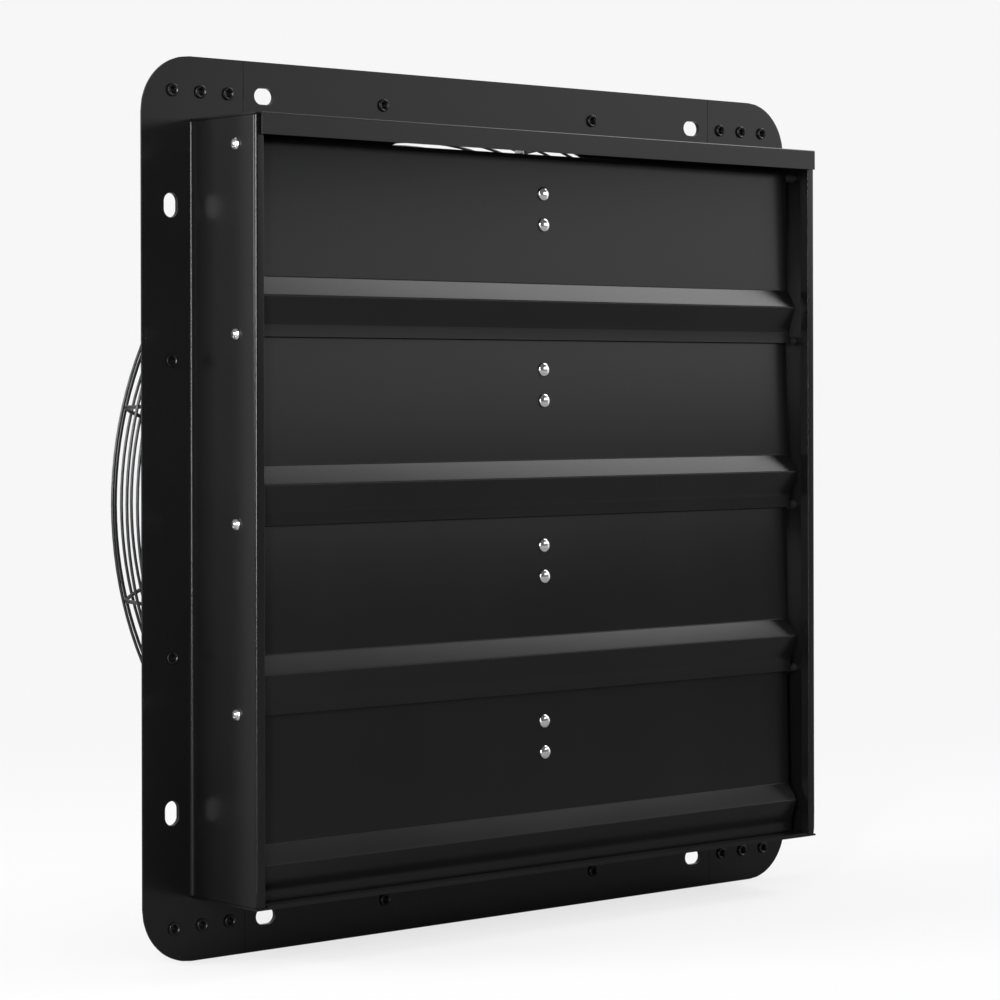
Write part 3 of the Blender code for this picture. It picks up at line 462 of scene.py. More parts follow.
class Wiring:
    """Nodes of one shader tree, placed and wired in short calls."""

    def __init__(self, tree: bpy.types.NodeTree) -> None:
        """Keep the tree."""
        self.tree = tree

    def feed(self, node: bpy.types.Node, inputs: Inputs) -> None:
        """Set or wire a node's inputs.

        Args:
            node: The node.
            inputs: Values or sockets for its inputs.
        """
        for key, value in inputs.items():
            if isinstance(value, Socket):
                self.tree.links.new(value, node.inputs[key])
            else:
                node.inputs[key].default_value = value

    def add(self, kind: str, inputs: Inputs | None = None, **settings: object) -> bpy.types.Node:
        """Add a node.

        Args:
            kind: Blender's node type.
            inputs: Values or sockets for its inputs.
            settings: Properties of the node.

        Returns:
            The node.
        """
        node = self.tree.nodes.new(kind)
        for key, value in settings.items():
            setattr(node, key, value)
        self.feed(node, inputs or {})
        return node

    def math(self, operation: str, first: object, second: object) -> Socket:
        """Add a Math node and return its value."""
        return self.add("ShaderNodeMath", {0: first, 1: second}, operation=operation).outputs[0]

    def vector(self, operation: str, first: object, second: object) -> bpy.types.Node:
        """Add a Vector Math node."""
        return self.add("ShaderNodeVectorMath", {0: first, 1: second}, operation=operation)

    def noise(self, place: object, scale: object, detail: float) -> Socket:
        """Add a noise and return its value."""
        return self.add("ShaderNodeTexNoise", {"Vector": place, "Scale": scale, "Detail": detail}).outputs[0]

    def span(self, value: object, low: float, high: float, to_low: float, to_high: float) -> Socket:
        """Map a value from one range to another, held inside it."""
        names = {"Value": value, "From Min": low, "From Max": high, "To Min": to_low, "To Max": to_high}
        return self.add("ShaderNodeMapRange", names).outputs[0]

    def blend(self, share: object, first: object, second: object) -> Socket:
        """Mix two colours by a share."""
        return self.add("ShaderNodeMix", {0: share, 6: first, 7: second}, data_type="RGBA").outputs[2]

    def swing(self, value: Socket, spread: Socket) -> Socket:
        """Swing of a noise about its middle, times a spread."""
        return self.math("MULTIPLY", self.math("SUBTRACT", value, 0.5), spread)

    def close(self, output: str, share: Socket, first: Socket, second: Socket) -> None:
        """Mix two shaders into the tree's output."""
        mixed = self.add("ShaderNodeMixShader", {0: share, 1: first, 2: second}).outputs[0]
        self.add(output, {"Surface": mixed})


class Effects:
    """Node groups that more than one finish uses, each built once."""

    CLOUD_SCALE = 11.0
    SPECK_SCALE = 2600.0
    WAVE_SCALE = 5.5
    BLOTCH_SCALE = 90.0
    PEEL_HEIGHT = 0.04
    WAVE_HEIGHT = 3.0

    @staticmethod
    def group(name: str, extra: dict[str, str], fill: Callable[[Wiring], None]) -> bpy.types.NodeTree:
        """Return a group, made on its first use.

        Args:
            name: Name of the group.
            extra: Its own inputs with their kinds, after those that all effects share.
            fill: Places the nodes.

        Returns:
            The group.
        """
        tree = bpy.data.node_groups.get(name)
        if tree:
            return tree
        tree = bpy.data.node_groups.new(name, "ShaderNodeTree")
        shared = {
            "Colour": "Color", "Second colour": "Color", "Roughness": "Float", "Roughness spread": "Float",
        }
        given = {"Colour": "Color", "Roughness": "Float", "Height": "Float"}
        for way, sockets in (("INPUT", {**shared, **extra}), ("OUTPUT", given)):
            for label, kind in sockets.items():
                tree.interface.new_socket(name=label, in_out=way, socket_type=f"NodeSocket{kind}")
        fill(Wiring(tree))
        return tree

    @staticmethod
    def coat(wiring: Wiring) -> None:
        """Sprayed and baked coat: orange peel, cloudy tone and fine specks.

        Args:
            wiring: The group's tree.
        """
        given = wiring.add("NodeGroupInput").outputs
        place = wiring.add("ShaderNodeTexCoord").outputs["Object"]
        peel = wiring.noise(place, wiring.math("DIVIDE", 1.0, given["Peel size"]), 2.0)
        cloud = wiring.noise(place, Effects.CLOUD_SCALE, 4.0)
        speck = wiring.noise(place, Effects.SPECK_SCALE, 1.0)
        wave = wiring.noise(place, Effects.WAVE_SCALE, 1.0)
        second = given["Second colour"]
        tinted = wiring.blend(wiring.span(cloud, 0.35, 0.68, 0.0, 1.0), given["Colour"], second)
        colour = wiring.blend(wiring.span(speck, 0.60, 0.78, 0.0, 0.35), tinted, second)
        spread = given["Roughness spread"]
        rough = wiring.math("ADD", given["Roughness"], wiring.swing(cloud, spread))
        rough = wiring.math("ADD", rough, wiring.swing(peel, spread))
        ripple = wiring.math("MULTIPLY", peel, Effects.PEEL_HEIGHT)
        height = wiring.math("ADD", ripple, wiring.math("MULTIPLY", wave, Effects.WAVE_HEIGHT))
        wiring.add("NodeGroupOutput", {"Colour": colour, "Roughness": rough, "Height": height})

    @staticmethod
    def metal(wiring: Wiring) -> None:
        """Rolled, drawn or cast metal: streaks and blotches.

        Args:
            wiring: The group's tree.
        """
        given = wiring.add("NodeGroupInput").outputs
        place = wiring.add("ShaderNodeTexCoord").outputs["Object"]
        drawn = wiring.vector("MULTIPLY", place, given["Stretch"]).outputs[0]
        grain = wiring.noise(drawn, given["Grain"], 3.0)
        share = wiring.span(wiring.noise(place, Effects.BLOTCH_SCALE, 3.0), 0.35, 0.70, 0.0, 1.0)
        colour = wiring.blend(share, given["Colour"], given["Second colour"])
        rough = wiring.math("ADD", given["Roughness"], wiring.swing(grain, given["Roughness spread"]))
        wiring.add("NodeGroupOutput", {"Colour": colour, "Roughness": rough, "Height": grain})


@dataclass(frozen=True)
class Finish:
    """What all finishes share: their names, colours and the values of the shader."""

    name: str
    slot: str
    colour: Colour
    second: Colour
    roughness: float
    spread: float
    bump: float
    specular: float = 0.5
    metallic: float = 0.0

    def material(self) -> bpy.types.Material:
        """Return the material, made on its first use.

        Returns:
            The material.
        """
        material = bpy.data.materials.get(self.name)
        if material:
            return material
        material = bpy.data.materials.new(self.name)
        material.use_nodes = True
        wiring = Wiring(material.node_tree)
        shared = {
            "Colour": (*self.colour, 1), "Second colour": (*self.second, 1), "Roughness": self.roughness,
            "Roughness spread": self.spread,
        }
        tree, own = self.effect()
        grain = wiring.add("ShaderNodeGroup", {**shared, **own}, node_tree=tree).outputs
        bump = wiring.add(
            "ShaderNodeBump", {"Strength": self.bump, "Distance": BUMP_DISTANCE, "Height": grain["Height"]},
        )
        wiring.feed(wiring.tree.nodes["Principled BSDF"], {
            "Metallic": self.metallic, "Specular IOR Level": self.specular, "Base Color": grain["Colour"],
            "Roughness": grain["Roughness"], "Normal": bump.outputs["Normal"],
        })
        return material

    def effect(self) -> tuple[bpy.types.NodeTree, Inputs]:
        """Effect that gives colour, roughness and height, with the values of its own inputs."""
        raise NotImplementedError


@dataclass(frozen=True)
class CoatFinish(Finish):
    """Baked powder coat or moulded plastic."""

    peel: float = 0.0012

    def effect(self) -> tuple[bpy.types.NodeTree, Inputs]:
        """The coat's effect."""
        return Effects.group("Coat grain", {"Peel size": "Float"}, Effects.coat), {"Peel size": self.peel}


@dataclass(frozen=True)
class MetalFinish(Finish):
    """Bare, plated or cast metal."""

    metallic: float = 1.0
    grain: float = 900.0
    stretch: Place = (1.0, 1.0, 1.0)

    def effect(self) -> tuple[bpy.types.NodeTree, Inputs]:
        """The metal's effect."""
        tree = Effects.group("Metal grain", {"Grain": "Float", "Stretch": "Vector"}, Effects.metal)
        return tree, {"Grain": self.grain, "Stretch": self.stretch}


FRAME_COAT = CoatFinish(
    "black_powder_coat", "powder_coat", (0.0042, 0.0042, 0.0044), (0.0054, 0.0054, 0.0057),
    roughness=0.24, spread=0.05, bump=0.05, specular=0.28,
)
LOUVER_COAT = CoatFinish(
    "black_louver_coat", "louver_coat", (0.0042, 0.0043, 0.0045), (0.0054, 0.0055, 0.0058),
    roughness=0.24, spread=0.05, bump=0.05, specular=0.28,
)
GUARD_COAT = CoatFinish(
    "black_guard_coat", "guard_wire", (0.010, 0.010, 0.011), (0.018, 0.018, 0.019),
    roughness=0.34, spread=0.10, bump=0.10, peel=0.0008,
)
FAN_COAT = CoatFinish(
    "black_fan_coat", "fan_coat", (0.013, 0.013, 0.014), (0.021, 0.021, 0.022),
    roughness=0.45, spread=0.10, bump=0.14,
)
PLASTIC = CoatFinish(
    "black_moulded_plastic", "black_plastic", (0.016, 0.016, 0.017), (0.024, 0.024, 0.025),
    roughness=0.52, spread=0.12, bump=0.25, peel=0.0006,
)
BRIGHT_RIVET = MetalFinish(
    "bright_rivet_metal", "bright_rivet", (0.90, 0.90, 0.90), (0.84, 0.84, 0.85),
    roughness=0.12, spread=0.05, bump=0.02, grain=1500.0,
)
BLACK_SCREW = MetalFinish(
    "black_oxide_screw", "black_screw", (0.007, 0.007, 0.0075), (0.011, 0.011, 0.0115),
    roughness=0.26, spread=0.10, bump=0.06, metallic=0.35, grain=1800.0,
)
ZINC = MetalFinish(
    "zinc_plated_steel", "zinc_steel", (0.60, 0.61, 0.63), (0.44, 0.45, 0.46),
    roughness=0.34, spread=0.22, bump=0.08, grain=700.0, stretch=(1.0, 1.0, 0.15),
)
CAST = MetalFinish(
    "cast_aluminium", "cast_aluminium", (0.52, 0.52, 0.53), (0.38, 0.38, 0.39),
    roughness=0.52, spread=0.18, bump=0.35, grain=1300.0,
)
WINDING = MetalFinish(
    "lacquered_winding", "stator_winding", (0.42, 0.20, 0.09), (0.26, 0.11, 0.05),
    roughness=0.40, spread=0.2, bump=0.5, metallic=0.7, stretch=(1.0, 6.0, 1.0),
)


class Dresser:
    """Gives pieces their finish and body, hides the nodes that they stand for, and keeps the count."""

    def __init__(self) -> None:
        """Start at none."""
        self.count = 0

    def dress(self, piece: Piece, finish: Finish, *names: str, body: str = "frame") -> None:
        """Finish a piece and let it stand for its nodes.

        Args:
            piece: The piece, modelled and shaded.
            finish: Its finish.
            names: The frame nodes that it stands for.
            body: The body that it moves with.
        """
        piece.data.materials.clear()
        piece.data.materials.append(finish.material())
        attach(piece, body)
        if names:
            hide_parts(*names)
        self.count += 1
        log.info("%s rides on %s, %d faces", piece.name, body, len(piece.data.polygons))

    def dress_copy(
        self, node: str, name: str, finish: Finish, width: float, segments: int = 2, body: str = "frame",
    ) -> None:
        """Copy a frame node, break its edges and dress the copy in its stead.

        Args:
            node: The frame node.
            name: Name of the copy.
            finish: Its finish.
            width: Width of the broken edges.
            segments: Their steps.
            body: The body that it moves with.
        """
        piece = Bench.copy_node(node, name)
        Bench.soften(piece, width, segments=segments)
        self.dress(piece, finish, node, body=body)

    def paint_node(self, node: str, finish: Finish) -> None:
        """Give a frame node that stays in view its finish.

        Args:
            node: The frame node.
            finish: Its finish.
        """
        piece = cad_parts[node]
        if not piece.material_slots:
            piece.data.materials.append(finish.material())
        for slot in piece.material_slots:
            slot.material = finish.material()
        self.count += 1
        log.info("%s keeps its shape", node)


@dataclass
class Assembly:
    """One sub-assembly, which builds its pieces and hands them to the dresser."""

    dresser: Dresser

    def build(self) -> None:
        """Build and dress its pieces."""
        raise NotImplementedError


@dataclass
class SheetBox(Assembly):
    """The bent sheets of the shutter box, the flange and the fan panel."""

    half_width: float = 0.2256
    half_height: float = 0.224
    depth: float = 0.062
    side_lip: float = 0.0062
    cap_reach: float = 0.0033
    bend_radius: float = 0.0019
    lip_radius: float = 0.0005
    cap_radius: float = 0.0008
    root_radius: float = 0.0018
    root_fillet: float = 0.0025
    edge_radius: float = 0.00025
    half_flange: float = 0.260
    half_panel: float = 0.256
    corner_radius: float = 0.0335
    corner_steps: int = 20
    slot_length: float = 0.0141
    slot_width: float = 0.0096
    slot_line: float = 0.240
    slot_x: float = 0.174
    slot_steps: int = 12
    tool_front: float = -0.070
    tool_back: float = 0.010
    web_end: float = 0.2225
    end_reach: float = 0.00028

    def tool(self, outline: Sequence[Pair], centre: Pair = (0, 0)) -> Piece:
        """Prism through the whole depth of the box, to cut with."""
        places = [(centre[0] + x, self.tool_front, centre[1] + z) for x, z in outline]
        return Bench.prism("cutter", places, (0, self.tool_back - self.tool_front, 0))

    def slot_tool(self) -> Piece:
        """Cutter for the eight smooth mounting slots.

        Returns:
            The cutter.
        """
        length, width = self.slot_length / 2, self.slot_width / 2
        tall = Bench.rounded(width, length, width, self.slot_steps)
        wide = Bench.rounded(length, width, width, self.slot_steps)
        tools = []
        for side, rise in CORNERS:
            tools.append(self.tool(tall, (side * self.slot_line, rise * self.slot_x)))
            tools.append(self.tool(wide, (side * self.slot_x, rise * self.slot_line)))
        return Bench.join(tools, "slot_cutter")

    def sheet(self, node: str, name: str, bends: Sequence[tuple[Line, float]], half: float) -> Piece:
        """Copy a sheet, smooth its corners and slots and give its bends their radius.

        Args:
            node: The frame node.
            name: Name of the piece.
            bends: Lines of the bends with their radius.
            half: Half the side of the plate that it belongs to.

        Returns:
            The shaded sheet.
        """
        piece = Bench.copy_node(node, name)
        if Bench.pick(piece, Kind.POINTS, self.at_web_end):
            bpy.ops.transform.translate(value=(0, 0, -self.end_reach))
        outline = Bench.rounded(half, half, self.corner_radius, self.corner_steps)
        Bench.cut(piece, self.tool(outline), "INTERSECT")
        Bench.cut(piece, self.slot_tool())
        for line, radius in bends:
            Bench.round_edges(piece, line, radius, 4)
        Bench.soften(piece, self.edge_radius, angle=60)
        return piece

    def at_web_end(self, place: Vector) -> bool:
        """Whether a point is on the lower end of the right web, which is drawn down to keep light out."""
        return place.x > 0 and place.y < NEAR and abs(place.z + self.web_end) < NEAR

    def root_bend(self, side: Side) -> Piece:
        """Hollow of the bend between the flange and a side web, as a slim strip.

        Args:
            side: The web's side.

        Returns:
            The shaded strip.
        """
        x, radius, foot = self.half_width, self.root_fillet, self.edge_radius - self.web_end
        line = [(x, 0.0), *Bench.arc((x + radius, -radius), radius, QUARTER, QUARTER, 10)]
        places = [(side.value * x, y, foot) for x, y in line]
        piece = Bench.prism(f"{side.label}_root_bend", places, (0, 0, -2 * foot))
        Bench.smooth(piece, 30)
        return piece

    def build(self) -> None:
        """Build and dress the five sheets."""
        front, flange, lip_x = -self.depth, self.half_flange, self.half_width - self.side_lip
        for side in Side:
            bends = [
                (Line(x=side.value * self.half_width, y=front), self.bend_radius),
                (Line(x=side.value * lip_x, y=front), self.lip_radius),
            ]
            node = f"side_channel_{side.label}"
            channel = self.sheet(node, f"{side.label}_channel_sheet", bends, flange)
            self.dresser.dress(channel, FRAME_COAT, node)
            self.dresser.dress(self.root_bend(side), FRAME_COAT)
        cap = (Line(y=front - self.cap_reach, z=self.half_height), self.cap_radius)
        top, bottom = ((Line(y=0.0, z=rise * self.half_height), self.root_radius) for rise in (1, -1))
        plates = (
            ("top_channel", [cap, top], flange), ("bottom_channel", [bottom], flange),
            ("fan_panel", [], self.half_panel),
        )
        for node, bends, half in plates:
            self.dresser.dress(self.sheet(node, f"{node}_sheet", bends, half), FRAME_COAT, node)


@dataclass
class FlangeScrews(Assembly):
    """Black socket screws of the flange and the strips that they thread into."""

    head_radius: float = 0.0038
    head_height: float = 0.0012
    shank_radius: float = 0.0020
    shank_end: float = 0.0045
    seat: float = 0.0003
    rim_radius: float = 0.0006
    recess_radius: float = 0.0030
    recess_depth: float = 0.0005
    socket_radius: float = 0.0024
    socket_depth: float = 0.0030
    edge: float = 0.00008
    strip_front: float = 0.0028
    strip_edge: float = 0.0004
    line: float = 0.240
    edge_spread: float = 0.085
    corner_places: Place = (0.239, 0.2195, 0.200)

    def screw(self) -> Piece:
        """One screw at the middle of the flange, to be copied.

        Returns:
            The screw.
        """
        low, rim = -self.seat, self.rim_radius
        top = low - self.head_height
        floor = top + self.recess_depth
        profile = [
            (0, floor), (self.recess_radius - self.recess_depth, floor), (self.recess_radius, top),
            *Bench.arc((self.head_radius - rim, top + rim), rim, -QUARTER, QUARTER, 5),
            (self.head_radius, low), (self.shank_radius, low), (self.shank_radius, self.shank_end),
            (0, self.shank_end),
        ]
        piece = Bench.turned("screw_pattern", profile, 28)
        Bench.cut(piece, Bench.hexagon(self.socket_radius, 2 * self.socket_depth, (0, top, 0)))
        Bench.soften(piece, self.edge, angle=40)
        return piece

    def strip(self, node: str) -> Piece:
        """Backing strip of a group: the frame's node cut off in front of the strip.

        Args:
            node: The frame node.

        Returns:
            The shaded strip.
        """
        piece = Bench.copy_node(node, f"{node}_set")
        Bench.edit(piece)
        bpy.ops.mesh.bisect(
            plane_co=(0, self.strip_front, 0), plane_no=(0, -1, 0), use_fill=True, clear_outer=True,
        )
        Bench.face_out(piece)
        Bench.soften(piece, self.strip_edge, angle=60)
        return piece

    def groups(self) -> dict[str, list[Pair]]:
        """Places of the screws of every group.

        Returns:
            X and Z of the screws for each frame node.
        """
        found = {}
        for number, (rise, side) in enumerate(((1, -1), (1, 1), (-1, -1), (-1, 1)), 1):
            found[f"corner_screws_{number}"] = [(side * x, rise * self.line) for x in self.corner_places]
        for label, way in (("top", 1), ("bottom", -1)):
            found[f"edge_screws_{label}"] = [(end * self.edge_spread, way * self.line) for end in (1, -1)]
        for label, way in (("right", 1), ("left", -1)):
            found[f"edge_screws_{label}"] = [(way * self.line, end * self.edge_spread) for end in (1, -1)]
        return found

    def build(self) -> None:
        """Build and dress the eight groups, each with its strip as one piece."""
        pattern = self.screw()
        for node, places in self.groups().items():
            parts = [self.strip(node)]
            for number, (x, z) in enumerate(places):
                spot = Matrix.Translation((x, 0, z))
                parts.append(Bench.copy_piece(pattern, f"{node}_screw_{number}", spot))
            self.dresser.dress(Bench.join(parts, f"{node}_set"), BLACK_SCREW, node)
        bpy.data.objects.remove(pattern, do_unlink=True)


@dataclass
class LouverBank(Assembly):
    """Four gravity louvers with their hems, pivots, rivets and linkage."""

    count: int = 4
    pivot_y: float = -0.0436
    first_pivot: float = 0.207
    pitch: float = 0.1074
    half_width: float = 0.2145
    thickness: float = 0.0006
    hem_radius: float = 0.0032
    hem_tail: float = radians(105)
    hem_rise: float = 0.0016
    hem_steps: int = 10
    lean: float = 0.0017
    band_top: Pair = (-0.0049, -0.0744282)
    band_nose: Pair = (-0.0119, -0.0854904)
    undercut: Pair = (-0.0063, -0.0999894)
    lip: Pair = (-0.0066, -0.1085814)
    last_lip: float = -0.1054
    crease_radius: float = 0.0005
    nose_radius: float = 0.0010
    undercut_radius: float = 0.0018
    rivet_x: float = 0.002
    rivet_depths: Pair = (0.0193, 0.0383)
    rivet_radius: float = 0.00415
    rivet_height: float = 0.0018
    rivet_rim: float = 0.00035
    rivet_shank: float = 0.0016
    rivet_tail: Place = (0.0024, 0.0028, 0.0012)
    dome_steps: int = 9
    head_radius: float = 0.0036
    head_height: float = 0.0019
    head_shape: tuple[Pair, ...] = (
        (0, 1), (0.20, 0.98), (0.38, 0.86), (0.46, 0.62), (0.50, 0.38), (0.60, 0.36), (0.66, 0.52),
        (0.82, 0.52), (0.95, 0.30), (1, 0.10), (1, 0), (0, 0),
    )
    web_outer: float = 0.2259
    shoulder_radius: float = 0.0027
    shoulder_end: float = 0.2148
    pin_radius: float = 0.0022
    pin_end: float = 0.2025
    gap: float = 0.0003
    link_edge: float = 0.00018

    def pivot_z(self, number: int) -> float:
        """Height of a louver's pivot, counted from 1 at the top."""
        return self.first_pivot - self.pitch * (number - 1)

    def profile(self, number: int) -> list[Pair]:
        """Front face of a louver about its pivot, from the lip up and round the upright oval hem.

        Args:
            number: The louver, counted from 1 at the top.

        Returns:
            Y and Z of its points.
        """
        lip_y, lip_z = self.lip
        if number == self.count:
            share = (self.last_lip - self.undercut[1]) / (lip_z - self.undercut[1])
            lip_y = self.undercut[0] + (lip_y - self.undercut[0]) * share
            lip_z = self.last_lip
        return [
            (lip_y, lip_z), self.undercut, self.band_nose, self.band_top,
            *Bench.arc((0, self.hem_rise), self.hem_radius, pi, -pi, self.hem_steps),
            *Bench.arc((0, 0), self.hem_radius, 0, -self.hem_tail, self.hem_steps),
        ]

    def louver(self, number: int) -> Piece:
        """One bent blade: its profile drawn, pulled across, its bends rounded and its wall added.

        Args:
            number: The louver, counted from 1 at the top.

        Returns:
            The shaded blade.
        """
        z = self.pivot_z(number)
        places = [(-self.half_width, self.pivot_y + y, z + rise) for y, rise in self.profile(number)]
        blade = Bench.draw(f"louver_{number}_blade", places)
        bpy.ops.mesh.extrude_region_move(TRANSFORM_OT_translate={"value": (2 * self.half_width, 0, 0)})
        Bench.face_out(blade)
        bends = (
            (self.band_top, self.crease_radius), (self.band_nose, self.nose_radius),
            (self.undercut, self.undercut_radius),
        )
        for (y, rise), radius in bends:
            Bench.round_edges(blade, Line(y=self.pivot_y + y, z=z + rise), radius, 5)
        upper = max(blade.data.polygons, key=lambda face: face.area)
        if upper.normal.y > 0:
            Bench.edit(blade, Kind.FACES)
            bpy.ops.mesh.flip_normals()
        Bench.modify(blade, "SOLIDIFY", thickness=self.thickness, offset=-1, use_even_offset=True)
        Bench.smooth(blade, 32)
        return blade

    def rivet(self, number: int, place: str, depth: float) -> Piece:
        """One low polished dome with its shank and tail, square to the leaning blade.

        Args:
            number: The louver, counted from 1 at the top.
            place: Upper or lower.
            depth: How far it sits under the pivot.

        Returns:
            The shaded rivet.
        """
        tilt = atan2(self.lean, -self.band_top[1])
        y = self.pivot_y - self.hem_radius - self.lean * depth / -self.band_top[1]
        rim, shank, low = self.rivet_rim, self.rivet_shank, -self.gap
        dome = self.rivet_height - rim
        turns = [QUARTER * step / self.dome_steps for step in range(self.dome_steps + 1)]
        tail, tail_radius, tail_height = self.rivet_tail
        profile = [
            *((self.rivet_radius * sin(turn), low - rim - dome * cos(turn)) for turn in turns),
            (self.rivet_radius, low), (shank, low), (shank, tail), (tail_radius, tail),
            (tail_radius - rim, tail + tail_height), (0, tail + tail_height),
        ]
        return Bench.turned(
            f"rivet_{number}_{place}_dome", profile, 36, (self.rivet_x, y, self.pivot_z(number) - depth),
            (0, cos(tilt), -sin(tilt)), smooth=40,
        )

    def pin_part(self, side: Side, number: int, part: str, profile: Sequence[Pair]) -> Piece:
        """Turned part of a pivot pin.

        Args:
            side: The pin's side.
            number: The louver, counted from 1 at the top.
            part: Head or bush.
            profile: Radius and distance from the middle of the fan.

        Returns:
            The shaded part.
        """
        centre = (0, self.pivot_y, self.pivot_z(number))
        name = f"pivot_pin_{side.label}_{number}_{part}"
        return Bench.turned(name, profile, 28, centre, (side.value, 0, 0), smooth=40)

    def build(self) -> None:
        """Build and dress the louvers and what hangs on them."""
        out, shoulder, pin = self.web_outer, self.shoulder_radius, self.pin_radius
        radius, height = self.head_radius, self.head_height
        head = [(radius * across, out + height * high) for across, high in self.head_shape]
        bush = [
            (0, out), (shoulder, out), (shoulder, self.shoulder_end), (pin, self.shoulder_end),
            (pin, self.pin_end), (0, self.pin_end),
        ]
        for number in range(1, self.count + 1):
            body = f"blade_{number}"
            self.dresser.dress(self.louver(number), LOUVER_COAT, f"louver_{number}", body=body)
            for place, depth in zip(("upper", "lower"), self.rivet_depths):
                rivet = self.rivet(number, place, depth)
                self.dresser.dress(rivet, BRIGHT_RIVET, f"rivet_{number}_{place}", body=body)
            links = (("link_bracket", f"bracket_{number}_plate"), ("link_pin", f"link_pin_{number}_turned"))
            for node, name in links:
                self.dresser.dress_copy(f"{node}_{number}", name, ZINC, self.link_edge, body=body)
            for side in Side:
                pivot = self.pin_part(side, number, "head", head)
                self.dresser.dress(pivot, BRIGHT_RIVET, f"pivot_pin_{side.label}_{number}")
                self.dresser.dress(self.pin_part(side, number, "bush", bush), PLASTIC)
        self.dresser.dress_copy("tie_bar", "tie_bar_flat", ZINC, self.link_edge, body="link")


@dataclass
class WireGuard(Assembly):
    """Round wires of the guard: rings welded over twelve radial wires."""

    base_radius: float = 0.232
    base_y: float = 0.00475
    shoulder_radius: float = 0.224
    shoulder_y: float = 0.0842
    eye_radius: float = 0.075
    dome_rise: float = 0.0198
    dome_power: float = 8.0
    side_depths: tuple[float, ...] = (0.00475, 0.014, 0.027, 0.040, 0.053, 0.066, 0.0842)
    rim_radii: Pair = (0.219, 0.211)
    first_dome_radius: float = 0.201
    ring_pitch: float = 0.010
    dome_rings: int = 13
    radials: int = 12
    radial_steps: int = 22
    radial_crowding: float = 1.6
    ring_wire: float = 0.00095
    radial_wire: float = 0.00120
    weld_offset: float = 0.00060
    ring_steps: int = 144

    def side_radius(self, y: float) -> float:
        """Radius of the guard's side at a depth."""
        share = (y - self.base_y) / (self.shoulder_y - self.base_y)
        return self.base_radius + (self.shoulder_radius - self.base_radius) * share

    def dome_y(self, radius: float) -> float:
        """Depth of the guard's dome at a radius."""
        share = (self.shoulder_radius - radius) / (self.shoulder_radius - self.eye_radius)
        return self.shoulder_y + self.dome_rise * (1 - (1 - share) ** self.dome_power)

    def ring_places(self) -> list[Pair]:
        """Places of the rings, on the outside of the radial wires.

        Returns:
            Radius and Y of every ring.
        """
        dome = [self.first_dome_radius - self.ring_pitch * number for number in range(self.dome_rings)]
        radii = [*self.rim_radii, *dome, self.eye_radius]
        places = [(self.side_radius(y) + self.weld_offset, y) for y in self.side_depths]
        return places + [(radius, self.dome_y(radius) + self.weld_offset) for radius in radii]

    def ring(self, number: int, radius: float, y: float) -> Piece:
        """One ring, drawn as a circle round the fan axis.

        Args:
            number: Its number.
            radius: Its radius.
            y: Its depth.

        Returns:
            The line of the ring.
        """
        Bench.rest()
        bpy.ops.mesh.primitive_circle_add(
            vertices=self.ring_steps, radius=radius, location=(0, y, 0), rotation=(QUARTER, 0, 0),
        )
        piece = bpy.context.object
        piece.name = f"guard_ring_{number}"
        Bench.settle(piece)
        return piece

    def radial(self, number: int) -> Piece:
        """One radial wire from the base ring over the shoulder to the eye.

        Args:
            number: Its number.

        Returns:
            The line of the wire.
        """
        turn = pi / self.radials + 2 * pi * number / self.radials
        line = [(self.base_radius, self.base_y)]
        for step in range(self.radial_steps + 1):
            share = (step / self.radial_steps) ** self.radial_crowding
            radius = self.shoulder_radius + (self.eye_radius - self.shoulder_radius) * share
            line.append((radius, self.dome_y(radius)))
        places = []
        for radius, y in line:
            inner = radius - self.weld_offset
            depth = y - self.weld_offset * (y > self.shoulder_y)
            places.append((inner * cos(turn), depth, inner * sin(turn)))
        return Bench.draw(f"guard_radial_{number}", places)

    def to_wire(self, lines: Sequence[Piece], name: str, radius: float) -> Piece:
        """Join drawn lines and turn them into round wire.

        Args:
            lines: The lines.
            name: Name of the wires.
            radius: Radius of the wire.

        Returns:
            The wires.
        """
        piece = Bench.join(lines, name)
        Bench.hold(piece)
        bpy.ops.object.convert(target="CURVE")
        piece.data.bevel_depth = radius
        piece.data.bevel_resolution = 2
        piece.data.use_fill_caps = True
        bpy.ops.object.convert(target="MESH")
        return piece

    def build(self) -> None:
        """Build and dress the guard."""
        circles = [self.ring(number, *place) for number, place in enumerate(self.ring_places())]
        rings = self.to_wire(circles, "guard_rings", self.ring_wire)
        spokes = [self.radial(number) for number in range(self.radials)]
        wires = self.to_wire(spokes, "guard_radials", self.radial_wire)
        guard = Bench.join([rings, wires], "guard_wires")
        Bench.edit(guard)
        Bench.face_out(guard)
        Bench.smooth(guard, 60)
        self.dresser.dress(guard, GUARD_COAT, "wire_guard")


